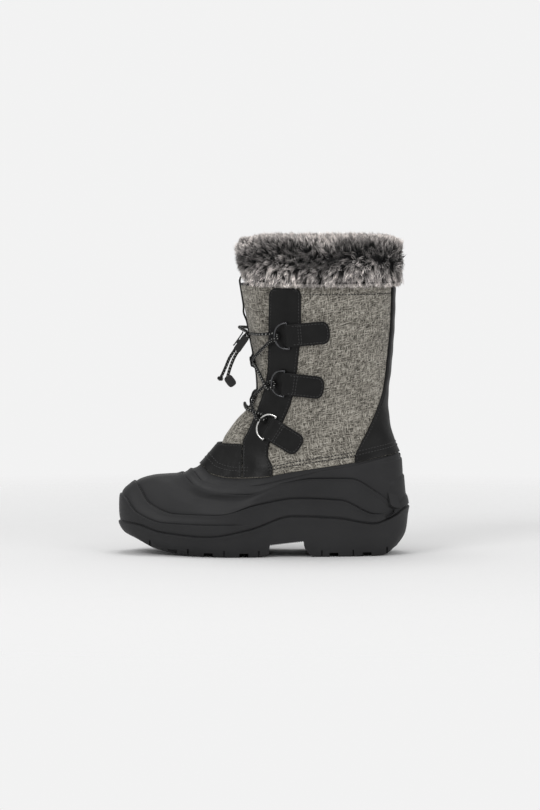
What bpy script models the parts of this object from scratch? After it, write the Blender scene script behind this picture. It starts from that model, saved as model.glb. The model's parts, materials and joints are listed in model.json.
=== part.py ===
"""Left snow boot in metres. The toe points to -X, the outer side to -Y, and it stands on z = 0."""

import math
from collections import namedtuple

import bmesh
import bpy
import numpy as np

# Main sizes
SOLE_LENGTH = 0.280
BALL_WIDTH = 0.110
SHELL_HEIGHT = 0.100
SHAFT_HEIGHT = 0.258
SHAFT_WIDTH = 0.106
FUR_HEIGHT = 0.046
FUR_DEPTH = 0.015
FUR_OVERHANG = 0.006
LOCK_DEPTH = 0.0035

# Walls and clearances
FIT_GAP = 0.0003
SEAT_GAP = 0.0006
VAMP_GAP = 0.00045
EYESTAY_GAP = 0.00048
COUNTER_GAP = 0.0006
TAB_GAP = 0.00045
WIRE_GAP = 0.00045
# Extra room where a thin piece lies on a faceted curve
FACET_ROOM = 0.0004
SHELL_WALL = 0.0042
UPPER_WALL = 0.0024
OVERLAY_WALL = 0.0012
TONGUE_WALL = 0.003
INSOLE_THICKNESS = 0.005
LINE_DEPTH = 0.0011

# Tread
GROOVE_WIDTH = 0.0085
GROOVE_DEPTH = 0.004
ARCH_HEIGHT = 0.014
ARCH_RIB = 0.001
ARCH_RIBS = 8

# Throat
THROAT_INSET = 0.004
TONGUE_MARGIN = 0.009

# Fittings
WIRE = 0.0018
RING_WIDTH = 0.0265
RING_DEPTH = 0.0145
TAB_WIDTH = 0.0215
TAB_LENGTH = 0.038
TAB_SHEET = 0.0011
TAB_CORNER = 0.008
CORD = 0.003
WEB_WIDTH = 0.010
WEB_THICKNESS = 0.0012
RING_ROUND = 0.75
LOCK_LENGTH = 0.0165
LOCK_WIDTH = 0.0070
LOCK_SIDE = 0.0070
END_LENGTH = 0.0115
END_WIDTH = 0.0086
END_THICKNESS = 0.0036
KNOT = 0.0052

# Each row is a loop round the boot. front and back are shares of SOLE_LENGTH from the toe tip.
# heights are shares of SHELL_HEIGHT at HEIGHT_AT along the row, or for an upper row one share of the
# rise from the shell's rim to SHAFT_HEIGHT. widths are shares of half BALL_WIDTH, or of half
# SHAFT_WIDTH for an upper row, at WIDTH_AT. fore and aft are how square the two ends are, and bend
# is how far the row follows the left curve of the sole.
Row = namedtuple("Row", "front back heights widths fore aft bend")
HEIGHT_AT = (0, 0.06, 0.15, 0.30, 0.45, 0.60, 0.75, 0.88, 0.95, 1)
WIDTH_AT = (0.12, 0.34, 0.60, 0.85)

TREAD = Row(0.068, 0.957, (0.135, 0.07, 0.02, 0, 0, 0, 0, 0, 0.01, 0.08),
            (0.80, 0.89, 0.73, 0.75), 2.5, 3.0, 1)
SIDE_BASE = Row(0.021, 0.987, (0.205, 0.16, 0.11, 0.09, 0.10, 0.13, 0.12, 0.12, 0.155, 0.22),
                (0.89, 0.965, 0.78, 0.80), 2.5, 3.0, 1)
LOW_WAVE = Row(0.005, 0.996, (0.31, 0.295, 0.223, 0.192, 0.26, 0.385, 0.365, 0.31, 0.385, 0.46),
               (0.945, 1.0, 0.81, 0.835), 2.5, 3.0, 1)
FORE_WAVE = Row(0.010, 0.9975, (0.57, 0.405, 0.317, 0.307, 0.315, 0.42, 0.405, 0.34, 0.41, 0.49),
                (0.945, 1.0, 0.81, 0.84), 2.5, 3.0, 1)
PANEL_WAVE = Row(0.057, 0.995, (0.685, 0.49, 0.402, 0.40, 0.50, 0.56, 0.54, 0.405, 0.43, 0.53),
                 (0.91, 0.975, 0.81, 0.84), 2.5, 3.0, 1)
TOE_ROUND = Row(0.114, 0.993, (0.74, 0.62, 0.50, 0.465, 0.565, 0.625, 0.61, 0.47, 0.445, 0.55),
                (0.91, 0.93, 0.81, 0.835), 2.5, 3.0, 1)
TOE_TOP = Row(0.168, 0.989, (0.755, 0.66, 0.56, 0.535, 0.635, 0.69, 0.68, 0.53, 0.465, 0.57),
              (0.89, 0.90, 0.81, 0.83), 2.5, 3.0, 1)
ARCH_WAVE = Row(0.218, 0.986, (0.765, 0.67, 0.61, 0.60, 0.705, 0.75, 0.745, 0.595, 0.49, 0.60),
                (0.98, 0.875, 0.80, 0.82), 2.5, 3.0, 1)
RIM_WAVE = Row(0.250, 0.971, (0.805, 0.705, 0.667, 0.677, 0.74, 0.81, 0.85, 0.89, 0.905, 0.92),
               (0.835, 0.80, 0.775, 0.79), 2.4, 2.9, 1)
RIM = Row(0.282, 0.961, (0.85, 0.77, 0.74, 0.755, 0.805, 0.847, 0.888, 0.937, 0.96, 0.975),
          (0.655, 0.765, 0.745, 0.765), 2.3, 2.8, 1)
SHELL_ROWS = (TREAD, SIDE_BASE, LOW_WAVE, FORE_WAVE, PANEL_WAVE,
              TOE_ROUND, TOE_TOP, ARCH_WAVE, RIM_WAVE, RIM)
UPPER_ROWS = (
    Row(0.346, 0.934, 0.12, (0.64, 0.755, 0.78, 0.775), 2.0, 2.6, 0.8),
    Row(0.405, 0.922, 0.25, (0.64, 0.775, 0.80, 0.785), 2.0, 2.5, 0.6),
    Row(0.470, 0.922, 0.37, (0.715, 0.82, 0.83, 0.80), 2.1, 2.4, 0.4),
    Row(0.473, 0.932, 0.52, (0.79, 0.875, 0.875, 0.85), 2.1, 2.3, 0.25),
    Row(0.446, 0.942, 0.76, (0.87, 0.955, 0.955, 0.925), 2.15, 2.25, 0.1),
    Row(0.419, 0.946, 1.00, (0.925, 1.0, 1.0, 0.97), 2.2, 2.2, 0),
)
ROWS = SHELL_ROWS + UPPER_ROWS
RIM_LEVEL = len(SHELL_ROWS) - 1
TOP_LEVEL = len(ROWS) - 1
BOTTOM_OF_UPPER = RIM_LEVEL + 0.025
FLANGE_LEVEL = RIM_LEVEL + 0.5

# Shift of the middle line to the inner side, as a share of BALL_WIDTH, along SOLE_LENGTH
CURVE_AT = (0, 0.15, 0.30, 0.45, 0.60, 0.80, 1)
CURVE = (0.064, 0.064, 0.018, -0.014, -0.023, 0, 0)

# Height of the footbed as a share of SHELL_HEIGHT, along SOLE_LENGTH
FLOOR_AT = (0, 0.15, 0.35, 0.50, 0.65, 0.80, 1)
FLOOR = (0.27, 0.24, 0.20, 0.22, 0.29, 0.34, 0.35)

# Moulded steps: the row level that each follows, its depth, and the stretch of the row that has it
Step = namedtuple("Step", "level depth start end")
STEPS = (
    Step(2, 1.0, -1.0, 2.0),
    Step(3, 0.8, -1.0, 0.46),
    Step(4, 1.0, -1.0, 0.93),
    Step(7, 1.0, -1.0, 0.97),
    Step(8, 0.8, -1.0, 0.62),
    Step(7.5, 1.0, 0.90, 2.0),
    Step(8, 1.0, 0.90, 2.0),
    Step(8.5, 1.0, 0.90, 2.0),
)
STEP_RISE = 0.04
PLAIN_LEVELS = (0, 0.6, 1.3, 2.5, 3.5, 4.6, 5.4, 6.2, 9)

# Side grooves of the tread along SOLE_LENGTH, with the half width that they leave uncut
Groove = namedtuple("Groove", "place uncut")
SIDE_GROOVES = (Groove(0.189, 0.24), Groove(0.312, 0.26), Groove(0.433, 0.26),
                Groove(0.739, 0.20), Groove(0.852, 0.20))
MIDDLE_GROOVES = (Groove(0.250, 0.15), Groove(0.372, 0.17), Groove(0.795, 0.12))

# Arch under the waist: where it starts, is highest and ends, along SOLE_LENGTH
ARCH_START = 0.454
ARCH_FRONT = 0.521
ARCH_BACK = 0.636
ARCH_END = 0.686

# Edges of the overlays seen from the side: height as a share of SHAFT_HEIGHT, x of SOLE_LENGTH
Edge = namedtuple("Edge", "height front back")
EYESTAY_EDGES = (
    Edge(0.331, 0.429, 0.531),
    Edge(0.375, 0.429, 0.516),
    Edge(0.416, 0.429, 0.520),
    Edge(0.450, 0.443, 0.542),
    Edge(0.523, 0.474, 0.577),
    Edge(0.579, 0.494, 0.596),
    Edge(0.631, 0.5075, 0.605),
    Edge(0.712, 0.516, 0.616),
    Edge(0.871, 0.518, 0.627),
    Edge(1.000, 0.520, 0.627),
)
COUNTER_EDGES = (
    Edge(0.364, 0.809, 1),
    Edge(0.416, 0.828, 1),
    Edge(0.464, 0.852, 1),
    Edge(0.536, 0.882, 1),
    Edge(0.620, 0.907, 1),
    Edge(0.740, 0.920, 1),
    Edge(0.860, 0.930, 1),
    Edge(1.000, 0.934, 1),
)
VAMP_TOP = 0.412
VAMP_SEAM = 0.429

# Rings: the middle of the bar, how far the tab dips backward in degrees, and its share of TAB_LENGTH
Ring = namedtuple("Ring", "x height tilt length")
RINGS = (
    Ring(0.588, 0.819, 5, 1.00),
    Ring(0.5775, 0.641, -7, 0.94),
    Ring(0.528, 0.471, -32, 0.84),
)
KEEPERS = (0.715, 0.582)
LOWEST_CROSSING = 0.545
SIDES = (("lateral", 1), ("medial", -1))
AROUND = 48

# The lock and the end of the free cords, and hand-chosen points between them, in this frame before
# the boot is centred
LOCK_TOP = (-0.0165, -0.0205, 0.2090)
LOCK_FOOT = (-0.0260, -0.0205, 0.1955)
END_TOP = (-0.0352, -0.0205, 0.1712)
END_FOOT = (-0.0284, -0.0205, 0.1620)
KNOT_AT = (-0.0413, -0.0205, 0.1689)
LEAD_LATERAL = ((0.0020, -0.0445, 0.2125), (-0.0045, -0.0405, 0.2120), (-0.0095, -0.0315, 0.2120))
LEAD_MEDIAL = ((0.0020, 0.0450, 0.2140), (-0.0060, 0.0400, 0.2145), (-0.0140, 0.0310, 0.2155),
               (-0.0205, 0.0170, 0.2165), (-0.0232, 0.0020, 0.2170), (-0.0210, -0.0110, 0.2160))
TAIL_LATERAL = ((-0.0284, -0.0205, 0.1880), (-0.0318, -0.0205, 0.1795))
TAIL_MEDIAL = ((-0.0325, -0.0205, 0.1885), (-0.0356, -0.0205, 0.1812), (-0.0382, -0.0205, 0.1752))
# The lock's outline with its spring fin, along it and across it, as shares of its length and width
LOCK_OUTLINE = (
    (0.05, 0.50), (0.95, 0.50), (1.00, 0.36), (1.00, -0.36), (0.95, -0.50), (0.62, -0.50), (0.62, -0.62),
    (0.80, -0.62), (0.87, -0.72), (0.84, -0.84), (0.77, -0.78), (-0.04, -0.78), (-0.11, -0.84),
    (-0.14, -0.72), (-0.07, -0.62), (0.38, -0.62), (0.38, -0.50), (0.05, -0.50), (0.00, -0.36), (0.00, 0.36),
)
END_ROUND = 0.6
END_SEAT = 0.0012


def along(share):
    return (np.asarray(share) - 0.5) * SOLE_LENGTH


def share_of(x):
    return np.asarray(x) / SOLE_LENGTH + 0.5


def smooth(value):
    value = np.clip(value, 0, 1)
    return value * value * (3 - 2 * value)


def monotone(stations, values, at):
    """A smooth curve through the values, with no overshoot between them and level ends."""
    stations = np.asarray(stations, float)
    values = np.asarray(values, float)
    step = np.diff(stations)
    rise = np.diff(values) / step
    slope = np.zeros(len(values))
    before, after = rise[:-1], rise[1:]
    same = before * after > 0
    slope[1:-1][same] = 2 * before[same] * after[same] / (before[same] + after[same])
    at = np.clip(at, stations[0], stations[-1])
    i = np.clip(np.searchsorted(stations, at, side="right") - 1, 0, len(step) - 1)
    f = (at - stations[i]) / step[i]
    start = values[i] * (1 + 2 * f) * (1 - f) ** 2 + values[i + 1] * f * f * (3 - 2 * f)
    return start + step[i] * f * (1 - f) * (slope[i] * (1 - f) - slope[i + 1] * f)


def row_height(row, share):
    if row in SHELL_ROWS:
        return SHELL_HEIGHT * monotone(HEIGHT_AT, row.heights, share)
    rim = SHELL_HEIGHT * monotone(HEIGHT_AT, RIM.heights, share)
    return rim + (SHAFT_HEIGHT - rim) * row.heights


def row_half_width(row, share):
    width = BALL_WIDTH if row in SHELL_ROWS else SHAFT_WIDTH
    square = row.fore + (row.aft - row.fore) * smooth(share)
    round_off = np.maximum(1 - np.abs(2 * share - 1) ** square, 0) ** (1 / square)
    return width / 2 * monotone(WIDTH_AT, row.widths, share) * round_off


def between_rows(values, level):
    """Catmull-Rom between the rows. values has a line for each row."""
    level = np.clip(level, 0, TOP_LEVEL)
    i = np.minimum(np.floor(level).astype(int), TOP_LEVEL - 1)
    f = level - i
    weights = (
        (-1, (-f + 2 * f ** 2 - f ** 3) / 2),
        (0, (2 - 5 * f ** 2 + 3 * f ** 3) / 2),
        (1, (f + 4 * f ** 2 - 3 * f ** 3) / 2),
        (2, (-f ** 2 + f ** 3) / 2),
    )
    columns = np.arange(values.shape[1])
    picked = [w * values[np.clip(i + k, 0, TOP_LEVEL), columns] for k, w in weights]
    return sum(picked)


def make_grid():
    """x ends, middle shift, half width and z of the outside on a fine grid of level and turn."""
    level, turn = np.meshgrid(GRID_LEVELS, GRID_TURNS, indexing="ij")
    level, share = level.reshape(-1), (1 - np.cos(turn.reshape(-1))) / 2
    same = np.ones(len(share))
    front = between_rows(np.array([along(row.front) * same for row in ROWS]), level)
    back = between_rows(np.array([along(row.back) * same for row in ROWS]), level)
    half = between_rows(np.array([row_half_width(row, share) for row in ROWS]), level)
    z = between_rows(np.array([row_height(row, share) for row in ROWS]), level)
    bend = between_rows(np.array([row.bend * same for row in ROWS]), level)
    return np.stack([front, back, bend, half, z]).reshape(5, len(GRID_LEVELS), len(GRID_TURNS))


GRID_LEVELS = np.linspace(0, TOP_LEVEL, 40 * TOP_LEVEL + 1)
GRID_TURNS = np.linspace(0, math.pi, 241)
GRID = make_grid()


def section(level, turn):
    """front, back, bend, half width and z at this level and turn, read from the grid."""
    level, turn = np.broadcast_arrays(np.asarray(level, float), np.asarray(turn, float))
    turn = np.arccos(np.cos(turn))
    row = np.clip(level / TOP_LEVEL, 0, 1) * (len(GRID_LEVELS) - 1)
    column = np.clip(turn / math.pi, 0, 1) * (len(GRID_TURNS) - 1)
    i = np.minimum(row.astype(int), len(GRID_LEVELS) - 2)
    j = np.minimum(column.astype(int), len(GRID_TURNS) - 2)
    f, g = row - i, column - j
    low = GRID[:, i, j] * (1 - g) + GRID[:, i, j + 1] * g
    high = GRID[:, i + 1, j] * (1 - g) + GRID[:, i + 1, j + 1] * g
    return low * (1 - f) + high * f


def bare_surface(level, turn):
    """Points of the outside. turn is 0 at the toe, a quarter on the outer side and pi at the heel."""
    level, turn = np.broadcast_arrays(np.asarray(level, float), np.asarray(turn, float))
    front, back, bend, half, z = section(level, turn)
    x = front + (1 - np.cos(turn)) / 2 * (back - front)
    middle = BALL_WIDTH * monotone(CURVE_AT, CURVE, share_of(x)) * bend
    return np.stack([x, middle - np.sign(np.sin(turn)) * half, z], axis=-1)


def outward(level, turn):
    """Unit normals of the outside."""
    level, turn = np.broadcast_arrays(np.asarray(level, float), np.asarray(turn, float))
    low = np.clip(level - 0.05, 0, TOP_LEVEL)
    high = np.clip(level + 0.05, 0, TOP_LEVEL)
    rise = bare_surface(high, turn) - bare_surface(low, turn)
    round_about = bare_surface(level, turn + 0.03) - bare_surface(level, turn - 0.03)
    normal = np.cross(round_about, rise)
    return normal / np.linalg.norm(normal, axis=-1, keepdims=True)


def place(level, turn, offset=0.0):
    offset = np.asarray(offset, float)[..., None]
    return bare_surface(level, turn) + outward(level, turn) * offset


def turn_of(share, side=1):
    """side is 1 for the outer side and -1 for the inner."""
    return side * np.arccos(np.clip(1 - 2 * np.asarray(share, float), -1, 1))


def level_at(turn, z, lowest=RIM_LEVEL - 1):
    """The level whose height at this turn is z."""
    turn, z = np.broadcast_arrays(np.asarray(turn, float), np.asarray(z, float))
    low = np.full(turn.shape, float(lowest))
    high = np.full(turn.shape, float(TOP_LEVEL))
    for _ in range(24):
        middle = (low + high) / 2
        below = section(middle, turn)[4] < z
        low = np.where(below, middle, low)
        high = np.where(below, high, middle)
    return (low + high) / 2


def locate(x, z):
    """The level and turn of the point of the outside that shows at x, z from the side."""
    x, z = np.broadcast_arrays(np.asarray(x, float), np.asarray(z, float))
    turn = np.full(x.shape, math.pi / 2)
    for _ in range(10):
        level = level_at(turn, z)
        front, back = section(level, turn)[:2]
        turn = turn_of((x - front) / (back - front))
    return level, turn


def turn_on_edge(level, edge_x):
    """Where the row at this level meets an edge given as x for a height."""
    level = np.asarray(level, float)
    share = np.full(level.shape, 0.3)
    for _ in range(25):
        front, back, _bend, _half, z = section(level, turn_of(share))
        share = np.clip(0.5 * share + 0.5 * (edge_x(z) - front) / (back - front), 0, 1)
    return turn_of(share)


def relief(level, turn):
    """How far the moulded steps stand proud of the plain side, or lie behind it."""
    share = (1 - np.cos(turn)) / 2
    total = np.zeros(np.broadcast(level, turn).shape)
    for step in STEPS:
        away = level - step.level
        profile = np.where(away < 0, np.exp(-((away / 0.35) ** 2)), -0.6 * np.exp(-((away / 0.25) ** 2)))
        stretch = smooth((share - step.start) / 0.05) * smooth((step.end - share) / 0.08)
        total = total + LINE_DEPTH * step.depth * profile * stretch
    return total


def material(name, colour, roughness, metallic=0.0):
    made = bpy.data.materials.new(name)
    made.use_nodes = True
    shader = made.node_tree.nodes["Principled BSDF"]
    shader.inputs["Base Color"].default_value = (*colour, 1)
    shader.inputs["Roughness"].default_value = roughness
    shader.inputs["Metallic"].default_value = metallic
    return made


def solid(name, points, faces, finish, parent=None):
    """One object from points and faces, welded, with its faces pointing out."""
    mesh = bpy.data.meshes.new(name)
    mesh.from_pydata([tuple(point) for point in points], [], faces)
    build = bmesh.new()
    build.from_mesh(mesh)
    bmesh.ops.remove_doubles(build, verts=build.verts, dist=1e-6)
    bmesh.ops.recalc_face_normals(build, faces=build.faces)
    build.to_mesh(mesh)
    build.free()
    if finish:
        mesh.materials.append(finish)
    mesh.shade_smooth()
    mesh.set_sharp_from_angle(angle=math.radians(40))
    made = bpy.data.objects.new(name, mesh)
    bpy.context.scene.collection.objects.link(made)
    made.parent = parent
    return made


def cutter(name, points, faces):
    made = solid(name, points, faces, None)
    made.hide_render = True
    made.display_type = "WIRE"
    return made


def cut(target, tool):
    modifier = target.modifiers.new(tool.name, "BOOLEAN")
    modifier.operation = "DIFFERENCE"
    modifier.object = tool


def tube_faces(loops, around, joined=False):
    """Faces between loops of the same number of points, the last joined to the first if asked."""
    faces = []
    for k in range(loops if joined else loops - 1):
        low, high = k * around, (k + 1) % loops * around
        for j in range(around):
            after = (j + 1) % around
            faces.append((low + j, low + after, high + after, high + j))
    return faces


def cap_faces(first, around):
    """Closes a loop of the boot with strips that run straight across it."""
    faces = [(first, first + 1, first + around - 1)]
    for j in range(1, around // 2 - 1):
        faces.append((first + j, first + j + 1, first + around - j - 1, first + around - j))
    heel = first + around // 2
    faces.append((heel - 1, heel, heel + 1))
    return faces


def sheet_solid(name, outer, inner, finish, parent=None):
    """A closed sheet between two grids of points."""
    rows, columns = outer.shape[:2]
    count = rows * columns
    faces = []
    for i in range(rows - 1):
        for j in range(columns - 1):
            corner = i * columns + j
            quad = (corner, corner + 1, corner + columns + 1, corner + columns)
            faces.append(quad)
            faces.append(tuple(count + k for k in reversed(quad)))
    rim = [j for j in range(columns)]
    rim += [i * columns + columns - 1 for i in range(1, rows)]
    rim += [(rows - 1) * columns + j for j in range(columns - 2, -1, -1)]
    rim += [i * columns for i in range(rows - 2, 0, -1)]
    for k, corner in enumerate(rim):
        after = rim[(k + 1) % len(rim)]
        faces.append((corner, after, count + after, count + corner))
    points = np.concatenate([outer.reshape(-1, 3), inner.reshape(-1, 3)])
    return solid(name, points, faces, finish, parent)


def extruded(name, outline, place_point, depth, finish, parent=None):
    """A closed plate. place_point turns (u, w, across) into a point."""
    count = len(outline)
    points = [place_point(u, w, -depth / 2) for u, w in outline]
    points += [place_point(u, w, depth / 2) for u, w in outline]
    faces = [tuple(range(count)), tuple(reversed(range(count, 2 * count)))]
    for k in range(count):
        after = (k + 1) % count
        faces.append((k, after, count + after, count + k))
    return solid(name, points, faces, finish, parent)


def turns(around):
    return np.arange(around) / around * 2 * math.pi


def floor_level(turn, wall, lift=0.0):
    """The level where the inside of the wall is lift above the footbed."""
    low = np.full(turn.shape, 0.2)
    high = np.full(turn.shape, 6.5)
    for _ in range(26):
        middle = (low + high) / 2
        point = place(middle, turn, -wall)
        below = point[..., 2] < SHELL_HEIGHT * monotone(FLOOR_AT, FLOOR, share_of(point[..., 0])) + lift
        low = np.where(below, middle, low)
        high = np.where(below, high, middle)
    return (low + high) / 2


def make_shell(finish, parent):
    turn = turns(AROUND)
    levels = set(PLAIN_LEVELS)
    for step in STEPS:
        levels |= {step.level - STEP_RISE, step.level + STEP_RISE}
    loops = [place(level, turn, relief(level, turn)) for level in sorted(levels)]
    seat = UPPER_WALL + SEAT_GAP
    flange = (RIM_LEVEL, (RIM_LEVEL + FLANGE_LEVEL) / 2, FLANGE_LEVEL)
    loops += [place(level, turn, -seat) for level in flange]
    loops += [place(level, turn, -SHELL_WALL) for level in flange[:0:-1]]
    lowest = floor_level(turn, SHELL_WALL)
    for share in (1, 0.75, 0.5, 0.25, 0.1, 0):
        loops.append(place(lowest + (RIM_LEVEL - lowest) * share, turn, -SHELL_WALL))
    faces = tube_faces(len(loops), AROUND)
    faces += cap_faces(0, AROUND)
    faces += cap_faces((len(loops) - 1) * AROUND, AROUND)
    shell = solid("shell", np.concatenate(loops), faces, finish, parent)
    cut(shell, make_arch_cutter())
    cut(shell, make_groove_cutter())
    return shell


def make_arch_cutter():
    deep = -ARCH_HEIGHT
    front, back = along(ARCH_FRONT), along(ARCH_BACK)
    outline = [(along(ARCH_START), deep), (along(ARCH_START), -ARCH_RIB), (front - ARCH_RIB, 0.2 * ARCH_HEIGHT)]
    for k in range(2 * ARCH_RIBS + 1):
        share = k / (2 * ARCH_RIBS)
        top = ARCH_HEIGHT * (0.8 + 0.25 * share) + (ARCH_RIB if k % 2 else 0)
        outline.append((front + (back - front) * share, top))
    for degrees in (15, 35, 60, 80):
        angle = math.radians(degrees)
        reach = along(ARCH_END) - back
        outline.append((back + reach * (1 - math.cos(angle)), ARCH_HEIGHT * 1.05 * (1 - math.sin(angle))))
    outline.append((along(ARCH_END) + ARCH_RIB, -ARCH_RIB))
    outline.append((along(ARCH_END) + ARCH_RIB, deep))
    tool = extruded("arch_cutter", outline, lambda u, w, across: (u, across, w), 2 * BALL_WIDTH, None)
    tool.hide_render = True
    tool.display_type = "WIRE"
    return tool


def box_of(low, high):
    points = [(x, y, z) for x in (low[0], high[0]) for y in (low[1], high[1]) for z in (low[2], high[2])]
    faces = [(0, 1, 3, 2), (4, 6, 7, 5), (0, 4, 5, 1), (2, 3, 7, 6), (0, 2, 6, 4), (1, 5, 7, 3)]
    return points, faces


def make_groove_cutter():
    points, faces = [], []
    spans = []
    for groove in SIDE_GROOVES:
        edge = groove.uncut * BALL_WIDTH
        spans.append((groove.place, edge, BALL_WIDTH, GROOVE_WIDTH))
        spans.append((groove.place, -BALL_WIDTH, -edge, GROOVE_WIDTH))
    for groove in MIDDLE_GROOVES:
        edge = groove.uncut * BALL_WIDTH
        spans.append((groove.place, -edge, edge, 0.75 * GROOVE_WIDTH))
    for where, near, far, width in spans:
        x = along(where)
        ground = section(0, turn_of((where - TREAD.front) / (TREAD.back - TREAD.front)))[4]
        low = (x - width / 2, near, -GROOVE_DEPTH)
        high = (x + width / 2, far, float(ground) + GROOVE_DEPTH)
        box_points, box_faces = box_of(low, high)
        faces += [tuple(len(points) + k for k in face) for face in box_faces]
        points += box_points
    return cutter("groove_cutter", points, faces)


def make_insole(finish, parent):
    turn = turns(AROUND)
    wall = SHELL_WALL + SEAT_GAP
    loops = []
    for lift in (FIT_GAP, FIT_GAP + INSOLE_THICKNESS):
        loops.append(place(floor_level(turn, wall, lift), turn, -wall))
    faces = tube_faces(2, AROUND) + cap_faces(0, AROUND) + cap_faces(AROUND, AROUND)
    return solid("insole", np.concatenate(loops), faces, finish, parent)


def eyestay_front(z):
    heights = [edge.height * SHAFT_HEIGHT for edge in EYESTAY_EDGES]
    return monotone(heights, [float(along(edge.front)) for edge in EYESTAY_EDGES], z)


def eyestay_back(z):
    heights = [edge.height * SHAFT_HEIGHT for edge in EYESTAY_EDGES]
    return monotone(heights, [float(along(edge.back)) for edge in EYESTAY_EDGES], z)


def throat_edge(z):
    return eyestay_front(z) + THROAT_INSET


def seam_edge(z):
    """The vamp's seam, a hair in front of the eyestay."""
    return along(VAMP_SEAM) - FIT_GAP + 0 * z


def counter_front(z):
    heights = [edge.height * SHAFT_HEIGHT for edge in COUNTER_EDGES]
    return monotone(heights, [float(along(edge.front)) for edge in COUNTER_EDGES], z)


THROAT_LEVEL = RIM_LEVEL + 0.6
THROAT_OPEN = RIM_LEVEL + 0.9
TONGUE_TUCK = 0.06
UPPER_LEVELS = (BOTTOM_OF_UPPER, 9.3, THROAT_LEVEL, THROAT_OPEN, 10.3, 10.8, 11.3, 11.7, 12.1, 12.5, 13,
                13.6, 14.3, TOP_LEVEL)
# Columns of the upper between the two edges of the throat, below it
FRONT_COLUMNS = 9
# Columns of half the tongue, as shares of the throat's half width, out to its tucked edge
TONGUE_COLUMNS = (0, 0.38, 0.72, 0.95, 1.04)


def make_upper(finish, parent):
    """The shaft and quarters, one wall. The throat is open above THROAT_LEVEL."""
    sweep = np.linspace(0, 2 * math.pi, AROUND + 1)
    across_front = np.linspace(-1, 1, FRONT_COLUMNS + 2)[1:-1]
    points, corner = [], {}
    for wall in (0, 1):
        for i, level in enumerate(UPPER_LEVELS):
            edge = float(turn_on_edge(max(level, THROAT_LEVEL), throat_edge))
            start = (1 - math.cos(edge)) / 2
            share = start + (1 - start) * (1 - np.cos(sweep)) / 2
            turn = np.where(sweep <= math.pi, turn_of(share), -turn_of(share))
            if level <= THROAT_LEVEL:
                turn = np.concatenate([turn, edge * across_front])
            for j, point in enumerate(place(level, turn, np.full(len(turn), -UPPER_WALL * wall))):
                corner[wall, i, j] = len(points)
                points.append(point)
    last = len(UPPER_LEVELS) - 1
    lip = UPPER_LEVELS.index(THROAT_LEVEL)
    ring = AROUND + 1 + FRONT_COLUMNS
    faces = []
    for i in range(last):
        for j in range(ring if i < lip else AROUND):
            after = (j + 1) % ring
            for wall in (0, 1):
                faces.append([corner[wall, i + k, n] for k, n in ((0, j), (0, after), (1, after), (1, j))])
    rims = [(0, j) for j in range(ring)] + [(lip, j) for j in range(AROUND, ring)] + [(last, j) for j in range(AROUND)]
    for i, j in rims:
        after = (j + 1) % ring
        faces.append([corner[0, i, j], corner[0, i, after], corner[1, i, after], corner[1, i, j]])
    for i in range(lip, last):
        for j in (0, AROUND):
            faces.append([corner[0, i, j], corner[0, i + 1, j], corner[1, i + 1, j], corner[1, i, j]])
    return solid("upper", points, faces, finish, parent)


def make_tongue(finish, parent):
    """Follows the front of the shaft, tucked behind the quarters at its sides and full in the middle."""
    levels = np.array([THROAT_LEVEL - TONGUE_TUCK] + [level for level in UPPER_LEVELS if level >= THROAT_LEVEL])
    tucked = -(UPPER_WALL + SEAT_GAP)
    free = turn_on_edge(levels, throat_edge)[:, None]
    edge = turn_on_edge(levels, lambda z: throat_edge(z) + TONGUE_MARGIN)[:, None]
    half = np.concatenate([free * np.array(TONGUE_COLUMNS), edge], axis=1)
    turn = np.concatenate([-half[:, :0:-1], half], axis=1)
    widest = TONGUE_COLUMNS[-2]
    fullness = smooth((widest - np.abs(turn) / free) / (widest - TONGUE_COLUMNS[2]))
    fullness = fullness * smooth((levels[:, None] - THROAT_OPEN) / 0.5)
    offset = tucked + (TONGUE_FACE - tucked) * fullness
    level = levels[:, None] + 0 * turn
    outer = place(level, turn, offset)
    inner = place(level, turn, offset - TONGUE_WALL)
    return sheet_solid("tongue", outer, inner, finish, parent)


def make_vamp(finish, parent):
    """The black overlay round the instep, from its seam on one side to its seam on the other."""
    across = np.linspace(-1, 1, 17)
    rise = np.linspace(0, 1, 6)[:, None]
    reach = np.full(len(across), 0.8)
    for _ in range(6):
        top = level_at(np.abs(across) * reach, VAMP_TOP * SHAFT_HEIGHT, RIM_LEVEL)
        reach = turn_on_edge(top, seam_edge)
    levels = BOTTOM_OF_UPPER + (top - BOTTOM_OF_UPPER) * rise
    turn = turn_on_edge(levels, seam_edge) * across
    gap = VAMP_GAP + 0 * levels
    return sheet_solid("vamp", place(levels, turn, gap + OVERLAY_WALL), place(levels, turn, gap), finish, parent)


def make_eyestay(name, side, finish, parent):
    """A strap that widens into the quarter's foot at the rim. Its rows are the upper's own."""
    levels = np.array(UPPER_LEVELS)
    across = np.linspace(0, 1, 5)
    front = turn_on_edge(levels, eyestay_front)[:, None]
    back = turn_on_edge(levels, eyestay_back)[:, None]
    turn = (front + (back - front) * across) * side
    level = levels[:, None] + 0 * turn
    gap = EYESTAY_GAP + 0 * level
    return sheet_solid(name, place(level, turn, gap + OVERLAY_WALL), place(level, turn, gap), finish, parent)


def make_counter(finish, parent):
    levels = np.array(UPPER_LEVELS)
    across = np.linspace(-1, 1, 13)
    half_turn = math.pi - turn_on_edge(levels, counter_front)
    turn = math.pi - half_turn[:, None] * across
    level = levels[:, None] + 0 * turn
    gap = COUNTER_GAP + 0 * level
    return sheet_solid("heel_counter", place(level, turn, gap + OVERLAY_WALL), place(level, turn, gap),
                       finish, parent)


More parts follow.
